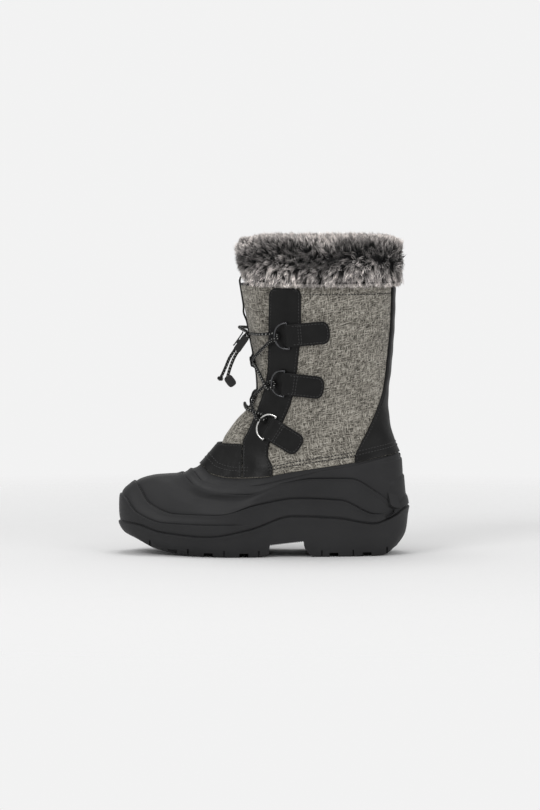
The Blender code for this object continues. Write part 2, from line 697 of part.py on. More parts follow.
# Section of the fur: how far out, as a share of FUR_OVERHANG or of FUR_DEPTH inward, and how high
FurPoint = namedtuple("FurPoint", "out height")
FUR_SECTION = (
    FurPoint(-0.30, 0.02), FurPoint(-0.75, 0.12), FurPoint(-1.0, 0.35), FurPoint(-1.0, 0.62),
    FurPoint(-0.80, 0.86), FurPoint(-0.40, 0.98), FurPoint(0.1, 1.0), FurPoint(0.75, 0.92),
    FurPoint(1.1, 0.72), FurPoint(1.15, 0.45), FurPoint(1.0, 0.18), FurPoint(0.72, 0.0),
    FurPoint(0.35, 0.02),
)
FUR_AROUND = 48


def make_fur(finish, parent):
    """A deep ring on top of the shaft, with locks that stand out of it."""
    random = np.random.RandomState(11)
    turn = turns(FUR_AROUND)
    top = bare_surface(TOP_LEVEL, turn)
    out = outward(TOP_LEVEL, turn)
    out[:, 2] = 0
    out /= np.linalg.norm(out, axis=1)[:, None]
    front = np.exp(-((np.minimum(turn, 2 * math.pi - turn) / 0.55) ** 2))
    seat = np.array([0, 0, FIT_GAP])
    loops = []
    for k, point in enumerate(FUR_SECTION):
        reach = point.out * (FUR_OVERHANG if point.out > 0 else FUR_DEPTH)
        shy = 1.1 * FUR_OVERHANG * front * (1.3 - point.height)
        lift = 0.24 * FUR_HEIGHT * front * (1 - point.height) ** 2
        lock = LOCK_DEPTH * (random.rand(FUR_AROUND) - 0.35)
        free = smooth((point.height - 0.05) / 0.25)
        height = point.height * FUR_HEIGHT + lift + 0.5 * lock * free * (point.height > 0.8)
        ring = top + out * (reach - shy + lock * free * np.sign(point.out + 0.01))[:, None] + seat
        ring[:, 2] += height
        loops.append(ring)
    faces = tube_faces(len(loops), FUR_AROUND, joined=True)
    return solid("fur_collar", np.concatenate(loops), faces, finish, parent)


class Frame:
    """A flat frame on the outside where it shows at x, z: a backward, b along the bar, n out."""

    def __init__(self, x, z, tilt, side):
        self.x, self.z, self.tilt, self.side = x, z, math.radians(tilt), side
        self.point, self.n = self.on_surface(0.0, 0.0)
        back = self.on_surface(0.003, 0.0)[0] - self.on_surface(-0.003, 0.0)[0]
        back -= self.n * back.dot(self.n)
        self.a = back / np.linalg.norm(back)
        self.b = np.cross(self.n, self.a) * side
        across = TAB_WIDTH / 2 * np.array([-1, -0.5, 0, 0.5, 1])
        under_bar = self.on_surface(0 * across, across)[0] - self.point
        self.point = self.point + self.n * float((under_bar @ self.n).max())

    def on_surface(self, a, b):
        """The point and the normal of the outside at a, b measured in the side view."""
        x = self.x + a * math.cos(self.tilt) - b * math.sin(self.tilt)
        z = self.z + a * math.sin(self.tilt) + b * math.cos(self.tilt)
        level, turn = locate(x, z)
        return bare_surface(level, turn * self.side), outward(level, turn * self.side)

    def curved(self, a, b, n):
        point, normal = self.on_surface(a, b)
        return point + normal * n[..., None]

    def flat(self, a, b, n):
        return self.point + self.a * a + self.b * b + self.n * n

    def folded(self, a, b, n, reach):
        """Flat at the bar, and lying on the boot's curve from a = reach on."""
        flat = self.point + self.a * a[..., None] + self.b * b[..., None] + self.n * n[..., None]
        lying = smooth(a / reach)[..., None]
        return flat * (1 - lying) + self.curved(a, b, n) * lying


OVERLAY_TOP = EYESTAY_GAP + OVERLAY_WALL
BAR_HEIGHT = OVERLAY_TOP + FIT_GAP + TAB_SHEET + FIT_GAP + WIRE / 2
ARC_LIFT = 0.0022


def ring_frames(side):
    return [Frame(float(along(ring.x)), ring.height * SHAFT_HEIGHT, ring.tilt, side) for ring in RINGS]


def swept_loop(name, path, radius, sides, finish, parent, across):
    """A closed wire through the path. across is a direction that the path is never along."""
    count = len(path)
    loops = []
    for k in range(count):
        ahead = path[(k + 1) % count] - path[k - 1]
        ahead = ahead / np.linalg.norm(ahead)
        first = across / np.linalg.norm(across)
        second = np.cross(ahead, first)
        second /= np.linalg.norm(second)
        ring = [path[k] + radius * (math.cos(t) * first + math.sin(t) * second)
                for t in np.arange(sides) / sides * 2 * math.pi]
        loops.append(np.array(ring))
    return solid(name, np.concatenate(loops), tube_faces(count, sides, joined=True), finish, parent)


def ring_path(frame):
    """The bar, then the arc of the D."""
    half = (RING_WIDTH - WIRE) / 2
    deep = RING_DEPTH - WIRE
    points = [(0, half * b) for b in (-0.955, 0, 0.955)]
    points += [(-0.065 * deep, half), (-0.27 * deep, 0.985 * half)]
    for degrees in (64, 48, 32, 16, 0, -16, -32, -48, -64):
        b = half * math.sin(math.radians(degrees))
        points.append((-arc_reach(b), b))
    points += [(-0.27 * deep, -0.985 * half), (-0.065 * deep, -half)]
    return [frame.flat(a, b, BAR_HEIGHT - ARC_LIFT * a / deep) for a, b in points]


def arc_reach(b):
    """How far the ring's arc stands in front of its bar at b."""
    return (RING_DEPTH - WIRE) * math.cos(math.asin(2 * b / (RING_WIDTH - WIRE))) ** RING_ROUND


def make_ring(name, frame, finish, parent):
    return swept_loop(name, ring_path(frame), WIRE / 2, 6, finish, parent, frame.n)


def make_tab(name, frame, length, finish, parent):
    """A strap folded round the ring's bar, its two layers lying on the eyestay and the quarter."""
    fold = WIRE / 2 + FIT_GAP + TAB_SHEET / 2
    drop_start, drop_end = 0.30 * length, 0.47 * length
    layer = TAB_SHEET + FIT_GAP

    def low_height(a):
        on_overlay = OVERLAY_TOP + FIT_GAP + TAB_SHEET / 2
        on_quarter = TAB_GAP + TAB_SHEET / 2
        return on_overlay + (on_quarter - on_overlay) * smooth((a - drop_start) / (drop_end - drop_start))

    def high_height(a):
        apart = 2 * fold + (layer - 2 * fold) * smooth(a / (0.2 * length))
        return low_height(a) + apart

    stations = [0, 0.1 * length, 0.2 * length, drop_start, drop_end, length - TAB_CORNER]
    stations += [length - TAB_CORNER * share for share in (0.5, 0.1)]
    path = [(a, high_height(a)) for a in reversed(stations)]
    path += [(-fold * math.cos(t), BAR_HEIGHT + fold * math.sin(t)) for t in (1.0, 0.35, -0.35, -1.0)]
    path += [(a, low_height(a)) for a in stations]
    path = np.array(path)
    ahead = np.gradient(path, axis=0)
    ahead /= np.linalg.norm(ahead, axis=1)[:, None]
    step = np.stack([ahead[:, 1], -ahead[:, 0]], axis=1) * TAB_SHEET / 2
    past = np.clip((path[:, 0] - (length - TAB_CORNER)) / TAB_CORNER, 0, 0.97)
    half = TAB_WIDTH / 2 * (1 - past ** 2.6) ** (1 / 2.6)
    b = half[:, None] * np.array([-1, 0, 1])
    layers = []
    for sign in (1, -1):
        shifted = path + sign * step
        layers.append(frame.folded(shifted[:, :1] + 0 * b, b, shifted[:, 1:] + 0 * b, drop_start))
    return sheet_solid(name, layers[0], layers[1], finish, parent)


# The webbing on the tongue: height as a share of SHAFT_HEIGHT and how far it stands off the tongue
WEB_ROUTE = (
    (0.548, 0.0), (0.553, 0.0003), (KEEPERS[1] - 0.0165, 0.0034), (KEEPERS[1], 0.0036),
    (KEEPERS[1] + 0.0165, 0.0034), (0.609, 0.0003), (0.650, 0.0), (0.690, 0.0003),
    (KEEPERS[0] - 0.0165, 0.0034), (KEEPERS[0], 0.0036), (KEEPERS[0] + 0.0165, 0.0034),
    (0.743, 0.0003), (0.800, 0.0), (0.860, 0.0), (0.895, 0.0016), (0.925, 0.0004), (0.990, 0.0),
)
# The pull loop over the top of the tongue, x and z from the tongue's top front edge
LOOP_ROUTE = ((-0.0004, 0.0040), (0.0014, 0.0080), (0.0048, 0.0096), (0.0082, 0.0084),
              (0.0098, 0.0040), (0.0094, -0.0020), (0.0088, -0.0100))
TONGUE_FACE = -0.0005


def make_webbing(finish, parent):
    path = []
    for height, off in WEB_ROUTE:
        level = level_at(0.0, height * SHAFT_HEIGHT)
        lift = TONGUE_FACE + FIT_GAP + FACET_ROOM + WEB_THICKNESS / 2 + off
        path.append(place(level, 0.0, lift))
    top = place(TOP_LEVEL, 0.0, TONGUE_FACE + FIT_GAP + FACET_ROOM + WEB_THICKNESS / 2)
    for x, z in LOOP_ROUTE:
        path.append(top + np.array([x, 0, z]))
    outer, inner = [], []
    for k, point in enumerate(path):
        ahead = path[min(k + 1, len(path) - 1)] - path[max(k - 1, 0)]
        ahead /= np.linalg.norm(ahead)
        out = np.array([-ahead[2], 0, ahead[0]]) * WEB_THICKNESS / 2
        reach = [np.array([0, y * WEB_WIDTH / 2, 0]) for y in (-1, 0, 1)]
        outer.append([point + out + y for y in reach])
        inner.append([point - out + y for y in reach])
    return sheet_solid("tongue_webbing", np.array(outer), np.array(inner), finish, parent)


def through_points(route, spacing):
    """The route's own points, with more on a smooth curve between those that lie further apart."""
    route = np.array([np.asarray(point, float) for point in route])
    ends = np.concatenate([[2 * route[0] - route[1]], route, [2 * route[-1] - route[-2]]])
    points = []
    for i in range(len(route) - 1):
        p0, p1, p2, p3 = ends[i : i + 4]
        steps = max(1, int(np.linalg.norm(p2 - p1) / spacing))
        for f in np.arange(steps) / steps:
            bend = 2 * p0 - 5 * p1 + 4 * p2 - p3
            points.append(0.5 * (2 * p1 + (p2 - p0) * f + bend * f ** 2 + (3 * (p1 - p2) + p3 - p0) * f ** 3))
    points.append(route[-1])
    return np.array(points)


def cord_tube(name, points, finish, parent):
    curve = bpy.data.curves.new(name, "CURVE")
    curve.dimensions = "3D"
    curve.bevel_depth = CORD / 2
    curve.bevel_resolution = 2
    curve.use_fill_caps = True
    line = curve.splines.new("POLY")
    line.points.add(len(points) - 1)
    for spot, point in zip(line.points, points):
        spot.co = (*point, 1)
    curve.materials.append(finish)
    made = bpy.data.objects.new(name, curve)
    bpy.context.scene.collection.objects.link(made)
    made.parent = parent
    return made


# How the cord goes round a ring's wire: a from the wire, b along it and n out of the ring's plane,
# in turns of the distance between the middles of cord and wire
BIGHT = ((-1.3, -1.0, 0.75), (0.0, -0.9, 1.0), (0.8, -0.35, 0.65), (1.05, 0.0, 0.0),
         (0.8, 0.35, -0.65), (0.0, 0.9, -1.0), (-1.3, 1.0, -0.85))


def bight(frame, rise):
    """Points over the wire and back under it. rise is where the cord crosses the wire, up the ring."""
    apart = (CORD + WIRE) / 2 + WIRE_GAP
    reach = arc_reach(rise)
    lift = BAR_HEIGHT + ARC_LIFT * reach / (RING_DEPTH - WIRE)
    return [frame.flat(-reach + a * apart, rise + b * apart, lift + n * apart) for a, b, n in BIGHT]


def front_point(height, sweep, off):
    """A point of the cord near the front: sweep is the turn round the boot, off is from the outside."""
    level = level_at(sweep, height * SHAFT_HEIGHT)
    return place(level, sweep, off)


def lace_route():
    """From the outer top ring down through the keepers to the bottom rings, and back up."""
    outer, inner = ring_frames(1), ring_frames(-1)
    seat = TONGUE_FACE + FIT_GAP + FACET_ROOM + CORD / 2
    on_strap = OVERLAY_TOP + FIT_GAP + FACET_ROOM + CORD / 2
    pass_gap = (CORD + FIT_GAP) / 2 / SHAFT_HEIGHT
    high, low = KEEPERS
    route = []
    route += reversed(bight(outer[0], 0.0))
    route += [front_point(0.752, 0.52, on_strap), front_point(0.735, 0.33, seat + 0.001)]
    route += [front_point(high + pass_gap, turn, seat) for turn in (0.14, 0, -0.16)]
    route += [front_point(high - 0.004, -0.30, seat + 0.0002), front_point(0.690, -0.42, on_strap)]
    route += bight(inner[1], 0.003)
    route += [front_point(0.612, -0.44, on_strap), front_point(0.596, -0.30, seat + 0.0040)]
    route += [front_point(low - pass_gap, turn, seat) for turn in (-0.16, 0, 0.15)]
    route += [front_point(0.545, 0.34, seat + 0.002)]
    route += bight(outer[2], 0.004)
    route += [front_point(0.530, 0.34, 0.0060), front_point(LOWEST_CROSSING, 0.0, 0.0052)]
    route += [front_point(0.530, -0.34, 0.0060)]
    route += reversed(bight(inner[2], 0.004))
    route += [front_point(0.553, -0.34, seat + 0.002)]
    route += [front_point(low + pass_gap, turn, seat) for turn in (-0.16, 0, 0.15)]
    route += [front_point(0.608, 0.40, on_strap)]
    route += reversed(bight(outer[1], -0.003))
    route += [front_point(0.690, 0.42, on_strap)]
    route += [front_point(high - pass_gap, turn, seat) for turn in (0.15, 0, -0.16)]
    route += [front_point(high + 0.006, -0.30, seat + 0.0036), front_point(0.757, -0.50, on_strap + 0.001)]
    route += bight(inner[0], 0.0)
    return route


class Plate:
    """The frame of a flat piece on the cords, from its top to its foot."""

    def __init__(self, top, foot):
        self.top = np.array(top)
        along_it = np.array(foot) - self.top
        self.down = along_it / np.linalg.norm(along_it)
        self.back = np.array([-self.down[2], 0, self.down[0]])

    def point(self, u, w, across=0.0):
        return self.top + self.down * u + self.back * w + np.array([0, across, 0])


def make_lock(lock, finish, parent):
    outline = [(u * LOCK_LENGTH, w * LOCK_WIDTH) for u, w in LOCK_OUTLINE]
    return extruded("cord_lock", outline, lock.point, LOCK_SIDE, finish, parent)


def make_end(end, finish, parent):
    outline = []
    for angle in turns(14):
        u, w = math.cos(angle), math.sin(angle)
        outline.append((END_LENGTH / 2 * (1 + math.copysign(abs(u) ** END_ROUND, u)),
                        END_WIDTH / 2 * math.copysign(abs(w) ** END_ROUND, w)))
    return extruded("cord_end", outline, end.point, END_THICKNESS, finish, parent)


def make_knot(finish, parent):
    build = bmesh.new()
    bmesh.ops.create_icosphere(build, subdivisions=2, radius=KNOT / 2)
    points = [np.array(vert.co) + np.array(KNOT_AT) for vert in build.verts]
    faces = [tuple(vert.index for vert in face.verts) for face in build.faces]
    build.free()
    return solid("cord_knot", points, faces, finish, parent)


def make_free_cords(lace, finish, plastic, parent):
    """The two leads from the top rings to the lock, and the two tails from it to the end and the knot."""
    lock = Plate(LOCK_TOP, LOCK_FOOT)
    end = Plate(END_TOP, END_FOOT)
    make_lock(lock, plastic, parent)
    make_end(end, plastic, parent)
    make_knot(finish, parent)
    beside = (CORD + FIT_GAP) / 2
    for word, chosen, lace_end, before, w in (
        ("lateral", LEAD_LATERAL, lace[0], lace[1], beside),
        ("medial", LEAD_MEDIAL, lace[-1], lace[-2], -beside),
    ):
        ahead = (lace_end - before) / np.linalg.norm(lace_end - before)
        route = [lace_end + ahead * SEAT_GAP, lace_end + ahead * CORD / 2, *chosen]
        route += [lock.point(-1.3 * CORD, w), lock.point(-FIT_GAP, w)]
        cord_tube(f"lead_{word}", through_points(route, 2 * CORD), finish, parent)
    knot = np.array(KNOT_AT)
    away = np.array(TAIL_MEDIAL[-1]) - knot
    knot_top = knot + away / np.linalg.norm(away) * (KNOT / 2 + FIT_GAP)
    for word, chosen, w, last in (
        ("lateral", TAIL_LATERAL, beside, end.point(-FIT_GAP - END_SEAT, 0)),
        ("medial", TAIL_MEDIAL, -beside, knot_top),
    ):
        route = [lock.point(LOCK_LENGTH + FIT_GAP, w), *chosen, last]
        cord_tube(f"tail_{word}", through_points(route, 2 * CORD), finish, parent)


def centre(boot):
    """Puts the middle of the box of all but the free cords over the origin, and its base at z = 0."""
    bpy.context.view_layer.update()
    graph = bpy.context.evaluated_depsgraph_get()
    corners = []
    for made in boot.children:
        if made.type == "MESH" and not made.name.startswith("cord_"):
            corners += [corner[:] for corner in made.evaluated_get(graph).bound_box]
    low, high = np.min(corners, axis=0), np.max(corners, axis=0)
    boot.location = (-(low[0] + high[0]) / 2, -(low[1] + high[1]) / 2, -low[2])


def clear_scene():
    for made in list(bpy.data.objects):
        bpy.data.objects.remove(made)


def main():
    clear_scene()
    rubber = material("rubber", (0.028, 0.028, 0.030), 0.55)
    leather = material("leather", (0.018, 0.017, 0.017), 0.45)
    fabric = material("fabric", (0.33, 0.31, 0.27), 0.9)
    lining = material("lining", (0.03, 0.03, 0.03), 0.9)
    fur = material("fur", (0.30, 0.28, 0.27), 0.95)
    gunmetal = material("gunmetal", (0.20, 0.20, 0.21), 0.3, 1.0)
    nickel = material("nickel", (0.75, 0.74, 0.72), 0.2, 1.0)
    cord = material("cord", (0.02, 0.02, 0.02), 0.7)
    plastic = material("plastic", (0.022, 0.022, 0.022), 0.4)
    boot = bpy.data.objects.new("boot", None)
    bpy.context.scene.collection.objects.link(boot)
    make_shell(rubber, boot)
    make_insole(lining, boot)
    make_upper(fabric, boot)
    make_tongue(fabric, boot)
    make_vamp(leather, boot)
    make_counter(leather, boot)
    make_fur(fur, boot)
    make_webbing(cord, boot)
    for word, side in SIDES:
        make_eyestay(f"eyestay_{word}", side, leather, boot)
        for k, frame in enumerate(ring_frames(side)):
            metal = nickel if k == 2 else gunmetal
            make_ring(f"d_ring_{word}_{k + 1}", frame, metal, boot)
            make_tab(f"ring_tab_{word}_{k + 1}", frame, RINGS[k].length * TAB_LENGTH, leather, boot)
    lace = lace_route()
    cord_tube("lace", through_points(lace, 3 * CORD), cord, boot)
    make_free_cords(lace, cord, plastic, boot)
    centre(boot)


main()
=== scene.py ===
"""Looks of the left snow boot: rubber, coated leather, tweed, fur, rings and elastic cord."""

import json
import math
from collections import namedtuple

import bmesh
import bpy
import numpy as np
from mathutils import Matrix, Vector

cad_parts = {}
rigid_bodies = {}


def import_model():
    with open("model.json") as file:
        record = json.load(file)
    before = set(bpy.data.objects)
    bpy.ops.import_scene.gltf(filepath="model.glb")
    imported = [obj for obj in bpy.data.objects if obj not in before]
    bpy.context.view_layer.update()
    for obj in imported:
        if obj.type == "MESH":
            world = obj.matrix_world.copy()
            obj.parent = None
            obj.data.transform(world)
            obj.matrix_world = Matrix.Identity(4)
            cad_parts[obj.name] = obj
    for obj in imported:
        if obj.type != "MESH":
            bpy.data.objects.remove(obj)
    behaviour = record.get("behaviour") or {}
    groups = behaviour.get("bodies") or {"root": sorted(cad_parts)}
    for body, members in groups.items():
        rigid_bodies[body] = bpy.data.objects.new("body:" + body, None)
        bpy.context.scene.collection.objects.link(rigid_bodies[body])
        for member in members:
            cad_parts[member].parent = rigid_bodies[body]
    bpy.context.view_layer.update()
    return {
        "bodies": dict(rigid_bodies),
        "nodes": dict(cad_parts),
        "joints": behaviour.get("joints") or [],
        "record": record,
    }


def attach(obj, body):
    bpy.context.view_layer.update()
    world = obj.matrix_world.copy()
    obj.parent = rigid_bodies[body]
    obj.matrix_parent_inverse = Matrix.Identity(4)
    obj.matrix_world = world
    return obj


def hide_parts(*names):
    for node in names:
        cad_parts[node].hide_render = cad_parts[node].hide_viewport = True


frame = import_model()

# Where the boot's own frame, in which its rows are written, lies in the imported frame
SHIFT = (-0.000144, 0.000127, 0.0)


# Main sizes
SOLE_LENGTH = 0.280
BALL_WIDTH = 0.110
SHELL_HEIGHT = 0.100
SHAFT_HEIGHT = 0.258
SHAFT_WIDTH = 0.106
FUR_HEIGHT = 0.046
FUR_DEPTH = 0.015
FUR_OVERHANG = 0.006

# Walls and clearances
FIT_GAP = 0.0003
SEAT_GAP = 0.0006
VAMP_GAP = 0.00045
EYESTAY_GAP = 0.00048
COUNTER_GAP = 0.0006
TAB_GAP = 0.00045
WIRE_GAP = 0.00045
# Extra room where a thin piece lies on a faceted curve
FACET_ROOM = 0.0004
SHELL_WALL = 0.0042
UPPER_WALL = 0.0024
OVERLAY_WALL = 0.0012
TONGUE_WALL = 0.003
LINE_DEPTH = 0.0011

# Tread
GROOVE_WIDTH = 0.0085
GROOVE_DEPTH = 0.004
ARCH_HEIGHT = 0.014
ARCH_RIB = 0.001
ARCH_RIBS = 8

# Throat
THROAT_INSET = 0.004
TONGUE_MARGIN = 0.009

# Fittings
WIRE = 0.0018
RING_WIDTH = 0.0265
RING_DEPTH = 0.0145
TAB_WIDTH = 0.0215
TAB_LENGTH = 0.038
TAB_SHEET = 0.0011
TAB_CORNER = 0.008
CORD = 0.003
WEB_WIDTH = 0.010
WEB_THICKNESS = 0.0012
RING_ROUND = 0.75
LOCK_LENGTH = 0.0165
LOCK_WIDTH = 0.0070
LOCK_SIDE = 0.0070
END_LENGTH = 0.0115
END_WIDTH = 0.0086
END_THICKNESS = 0.0036
KNOT = 0.0052

# Each row is a loop round the boot. front and back are shares of SOLE_LENGTH from the toe tip.
# heights are shares of SHELL_HEIGHT at HEIGHT_AT along the row, or for an upper row one share of the
# rise from the shell's rim to SHAFT_HEIGHT. widths are shares of half BALL_WIDTH, or of half
# SHAFT_WIDTH for an upper row, at WIDTH_AT. fore and aft are how square the two ends are, and bend
# is how far the row follows the left curve of the sole.
Row = namedtuple("Row", "front back heights widths fore aft bend")
HEIGHT_AT = (0, 0.06, 0.15, 0.30, 0.45, 0.60, 0.75, 0.88, 0.95, 1)
WIDTH_AT = (0.12, 0.34, 0.60, 0.85)

TREAD = Row(0.068, 0.957, (0.135, 0.07, 0.02, 0, 0, 0, 0, 0, 0.01, 0.08),
            (0.80, 0.89, 0.73, 0.75), 2.5, 3.0, 1)
SIDE_BASE = Row(0.021, 0.987, (0.205, 0.16, 0.11, 0.09, 0.10, 0.13, 0.12, 0.12, 0.155, 0.22),
                (0.89, 0.965, 0.78, 0.80), 2.5, 3.0, 1)
LOW_WAVE = Row(0.005, 0.996, (0.31, 0.295, 0.223, 0.192, 0.26, 0.385, 0.365, 0.31, 0.385, 0.46),
               (0.945, 1.0, 0.81, 0.835), 2.5, 3.0, 1)
FORE_WAVE = Row(0.010, 0.9975, (0.57, 0.405, 0.317, 0.307, 0.315, 0.42, 0.405, 0.34, 0.41, 0.49),
                (0.945, 1.0, 0.81, 0.84), 2.5, 3.0, 1)
PANEL_WAVE = Row(0.057, 0.995, (0.685, 0.49, 0.402, 0.40, 0.50, 0.56, 0.54, 0.405, 0.43, 0.53),
                 (0.91, 0.975, 0.81, 0.84), 2.5, 3.0, 1)
TOE_ROUND = Row(0.114, 0.993, (0.74, 0.62, 0.50, 0.465, 0.565, 0.625, 0.61, 0.47, 0.445, 0.55),
                (0.91, 0.93, 0.81, 0.835), 2.5, 3.0, 1)
TOE_TOP = Row(0.168, 0.989, (0.755, 0.66, 0.56, 0.535, 0.635, 0.69, 0.68, 0.53, 0.465, 0.57),
              (0.89, 0.90, 0.81, 0.83), 2.5, 3.0, 1)
ARCH_WAVE = Row(0.218, 0.986, (0.765, 0.67, 0.61, 0.60, 0.705, 0.75, 0.745, 0.595, 0.49, 0.60),
                (0.98, 0.875, 0.80, 0.82), 2.5, 3.0, 1)
RIM_WAVE = Row(0.250, 0.971, (0.805, 0.705, 0.667, 0.677, 0.74, 0.81, 0.85, 0.89, 0.905, 0.92),
               (0.835, 0.80, 0.775, 0.79), 2.4, 2.9, 1)
RIM = Row(0.282, 0.961, (0.85, 0.77, 0.74, 0.755, 0.805, 0.847, 0.888, 0.937, 0.96, 0.975),
          (0.655, 0.765, 0.745, 0.765), 2.3, 2.8, 1)
SHELL_ROWS = (TREAD, SIDE_BASE, LOW_WAVE, FORE_WAVE, PANEL_WAVE,
              TOE_ROUND, TOE_TOP, ARCH_WAVE, RIM_WAVE, RIM)
UPPER_ROWS = (
    Row(0.346, 0.934, 0.12, (0.64, 0.755, 0.78, 0.775), 2.0, 2.6, 0.8),
    Row(0.405, 0.922, 0.25, (0.64, 0.775, 0.80, 0.785), 2.0, 2.5, 0.6),
    Row(0.470, 0.922, 0.37, (0.715, 0.82, 0.83, 0.80), 2.1, 2.4, 0.4),
    Row(0.473, 0.932, 0.52, (0.79, 0.875, 0.875, 0.85), 2.1, 2.3, 0.25),
    Row(0.446, 0.942, 0.76, (0.87, 0.955, 0.955, 0.925), 2.15, 2.25, 0.1),
    Row(0.419, 0.946, 1.00, (0.925, 1.0, 1.0, 0.97), 2.2, 2.2, 0),
)
ROWS = SHELL_ROWS + UPPER_ROWS
RIM_LEVEL = len(SHELL_ROWS) - 1
TOP_LEVEL = len(ROWS) - 1
BOTTOM_OF_UPPER = RIM_LEVEL + 0.025
FLANGE_LEVEL = RIM_LEVEL + 0.5

# Shift of the middle line to the inner side, as a share of BALL_WIDTH, along SOLE_LENGTH
CURVE_AT = (0, 0.15, 0.30, 0.45, 0.60, 0.80, 1)
CURVE = (0.064, 0.064, 0.018, -0.014, -0.023, 0, 0)

# Height of the footbed as a share of SHELL_HEIGHT, along SOLE_LENGTH
FLOOR_AT = (0, 0.15, 0.35, 0.50, 0.65, 0.80, 1)
FLOOR = (0.27, 0.24, 0.20, 0.22, 0.29, 0.34, 0.35)

# Moulded steps: the row level that each follows, its depth, and the stretch of the row that has it
Step = namedtuple("Step", "level depth start end")
STEPS = (
    Step(2, 1.0, -1.0, 2.0),
    Step(3, 0.8, -1.0, 0.46),
    Step(4, 1.0, -1.0, 0.93),
    Step(7, 1.0, -1.0, 0.97),
    Step(8, 0.8, -1.0, 0.62),
    Step(7.5, 1.0, 0.90, 2.0),
    Step(8, 1.0, 0.90, 2.0),
    Step(8.5, 1.0, 0.90, 2.0),
)

# Side grooves of the tread along SOLE_LENGTH, with the half width that they leave uncut
Groove = namedtuple("Groove", "place uncut")
SIDE_GROOVES = (Groove(0.189, 0.24), Groove(0.312, 0.26), Groove(0.433, 0.26),
                Groove(0.739, 0.20), Groove(0.852, 0.20))
MIDDLE_GROOVES = (Groove(0.250, 0.15), Groove(0.372, 0.17), Groove(0.795, 0.12))

# Arch under the waist: where it starts, is highest and ends, along SOLE_LENGTH
ARCH_START = 0.454
ARCH_FRONT = 0.521
ARCH_BACK = 0.636
ARCH_END = 0.686

# Edges of the overlays seen from the side: height as a share of SHAFT_HEIGHT, x of SOLE_LENGTH
Edge = namedtuple("Edge", "height front back")
EYESTAY_EDGES = (
    Edge(0.331, 0.429, 0.531),
    Edge(0.375, 0.429, 0.516),
    Edge(0.416, 0.429, 0.520),
    Edge(0.450, 0.443, 0.542),
    Edge(0.523, 0.474, 0.577),
    Edge(0.579, 0.494, 0.596),
    Edge(0.631, 0.5075, 0.605),
    Edge(0.712, 0.516, 0.616),
    Edge(0.871, 0.518, 0.627),
    Edge(1.000, 0.520, 0.627),
)
COUNTER_EDGES = (
    Edge(0.364, 0.809, 1),
    Edge(0.416, 0.828, 1),
    Edge(0.464, 0.852, 1),
    Edge(0.536, 0.882, 1),
    Edge(0.620, 0.907, 1),
    Edge(0.740, 0.920, 1),
    Edge(0.860, 0.930, 1),
    Edge(1.000, 0.934, 1),
)
VAMP_TOP = 0.412
VAMP_SEAM = 0.429

# Rings: the middle of the bar, how far the tab dips backward in degrees, and its share of TAB_LENGTH
Ring = namedtuple("Ring", "x height tilt length")
RINGS = (
    Ring(0.588, 0.819, 5, 1.00),
    Ring(0.5775, 0.641, -7, 0.94),
    Ring(0.528, 0.471, -32, 0.84),
)
KEEPERS = (0.715, 0.582)
LOWEST_CROSSING = 0.545
SIDES = (("lateral", 1), ("medial", -1))

# The lock and the end of the free cords, and points between them, in this frame before
# the boot is centred
LOCK_TOP = (-0.0165, -0.0205, 0.2090)
LOCK_FOOT = (-0.0260, -0.0205, 0.1955)
END_TOP = (-0.0352, -0.0205, 0.1712)
END_FOOT = (-0.0284, -0.0205, 0.1620)
KNOT_AT = (-0.0413, -0.0205, 0.1689)
LEAD_LATERAL = ((0.0020, -0.0445, 0.2125), (-0.0045, -0.0405, 0.2120), (-0.0095, -0.0315, 0.2120))
LEAD_MEDIAL = ((0.0020, 0.0450, 0.2140), (-0.0060, 0.0400, 0.2145), (-0.0140, 0.0310, 0.2155),
               (-0.0205, 0.0170, 0.2165), (-0.0232, 0.0020, 0.2170), (-0.0210, -0.0110, 0.2160))
TAIL_LATERAL = ((-0.0284, -0.0205, 0.1880), (-0.0318, -0.0205, 0.1795))
TAIL_MEDIAL = ((-0.0325, -0.0205, 0.1885), (-0.0356, -0.0205, 0.1812), (-0.0382, -0.0205, 0.1752))
# The lock's outline with its spring fin, along it and across it, as shares of its length and width
LOCK_OUTLINE = (
    (0.05, 0.50), (0.95, 0.50), (1.00, 0.36), (1.00, -0.36), (0.95, -0.50), (0.62, -0.50), (0.62, -0.62),
    (0.80, -0.62), (0.87, -0.72), (0.84, -0.84), (0.77, -0.78), (-0.04, -0.78), (-0.11, -0.84),
    (-0.14, -0.72), (-0.07, -0.62), (0.38, -0.62), (0.38, -0.50), (0.05, -0.50), (0.00, -0.36), (0.00, 0.36),
)
END_ROUND = 0.6
END_SEAT = 0.0012


def along(share):
    return (np.asarray(share) - 0.5) * SOLE_LENGTH


def share_of(x):
    return np.asarray(x) / SOLE_LENGTH + 0.5


def smooth(value):
    value = np.clip(value, 0, 1)
    return value * value * (3 - 2 * value)


def bell(away, width):
    return np.exp(-((away / width) ** 2))


def unit(vectors):
    return vectors / np.linalg.norm(vectors, axis=-1, keepdims=True)


def turns(count):
    """Even turns round a full circle."""
    return np.arange(count) / count * 2 * math.pi


def paired(first, second):
    return np.broadcast_arrays(np.asarray(first, float), np.asarray(second, float))


def spline(p0, p1, p2, p3, f):
    """Catmull-Rom from p1 to p2."""
    bend = 2 * p0 - 5 * p1 + 4 * p2 - p3
    return 0.5 * (2 * p1 + (p2 - p0) * f + bend * f ** 2 + (3 * (p1 - p2) + p3 - p0) * f ** 3)


def halving(low, high, below, rounds):
    """The values between low and high where below turns false."""
    for _ in range(rounds):
        middle = (low + high) / 2
        under = below(middle)
        low = np.where(under, middle, low)
        high = np.where(under, high, middle)
    return (low + high) / 2


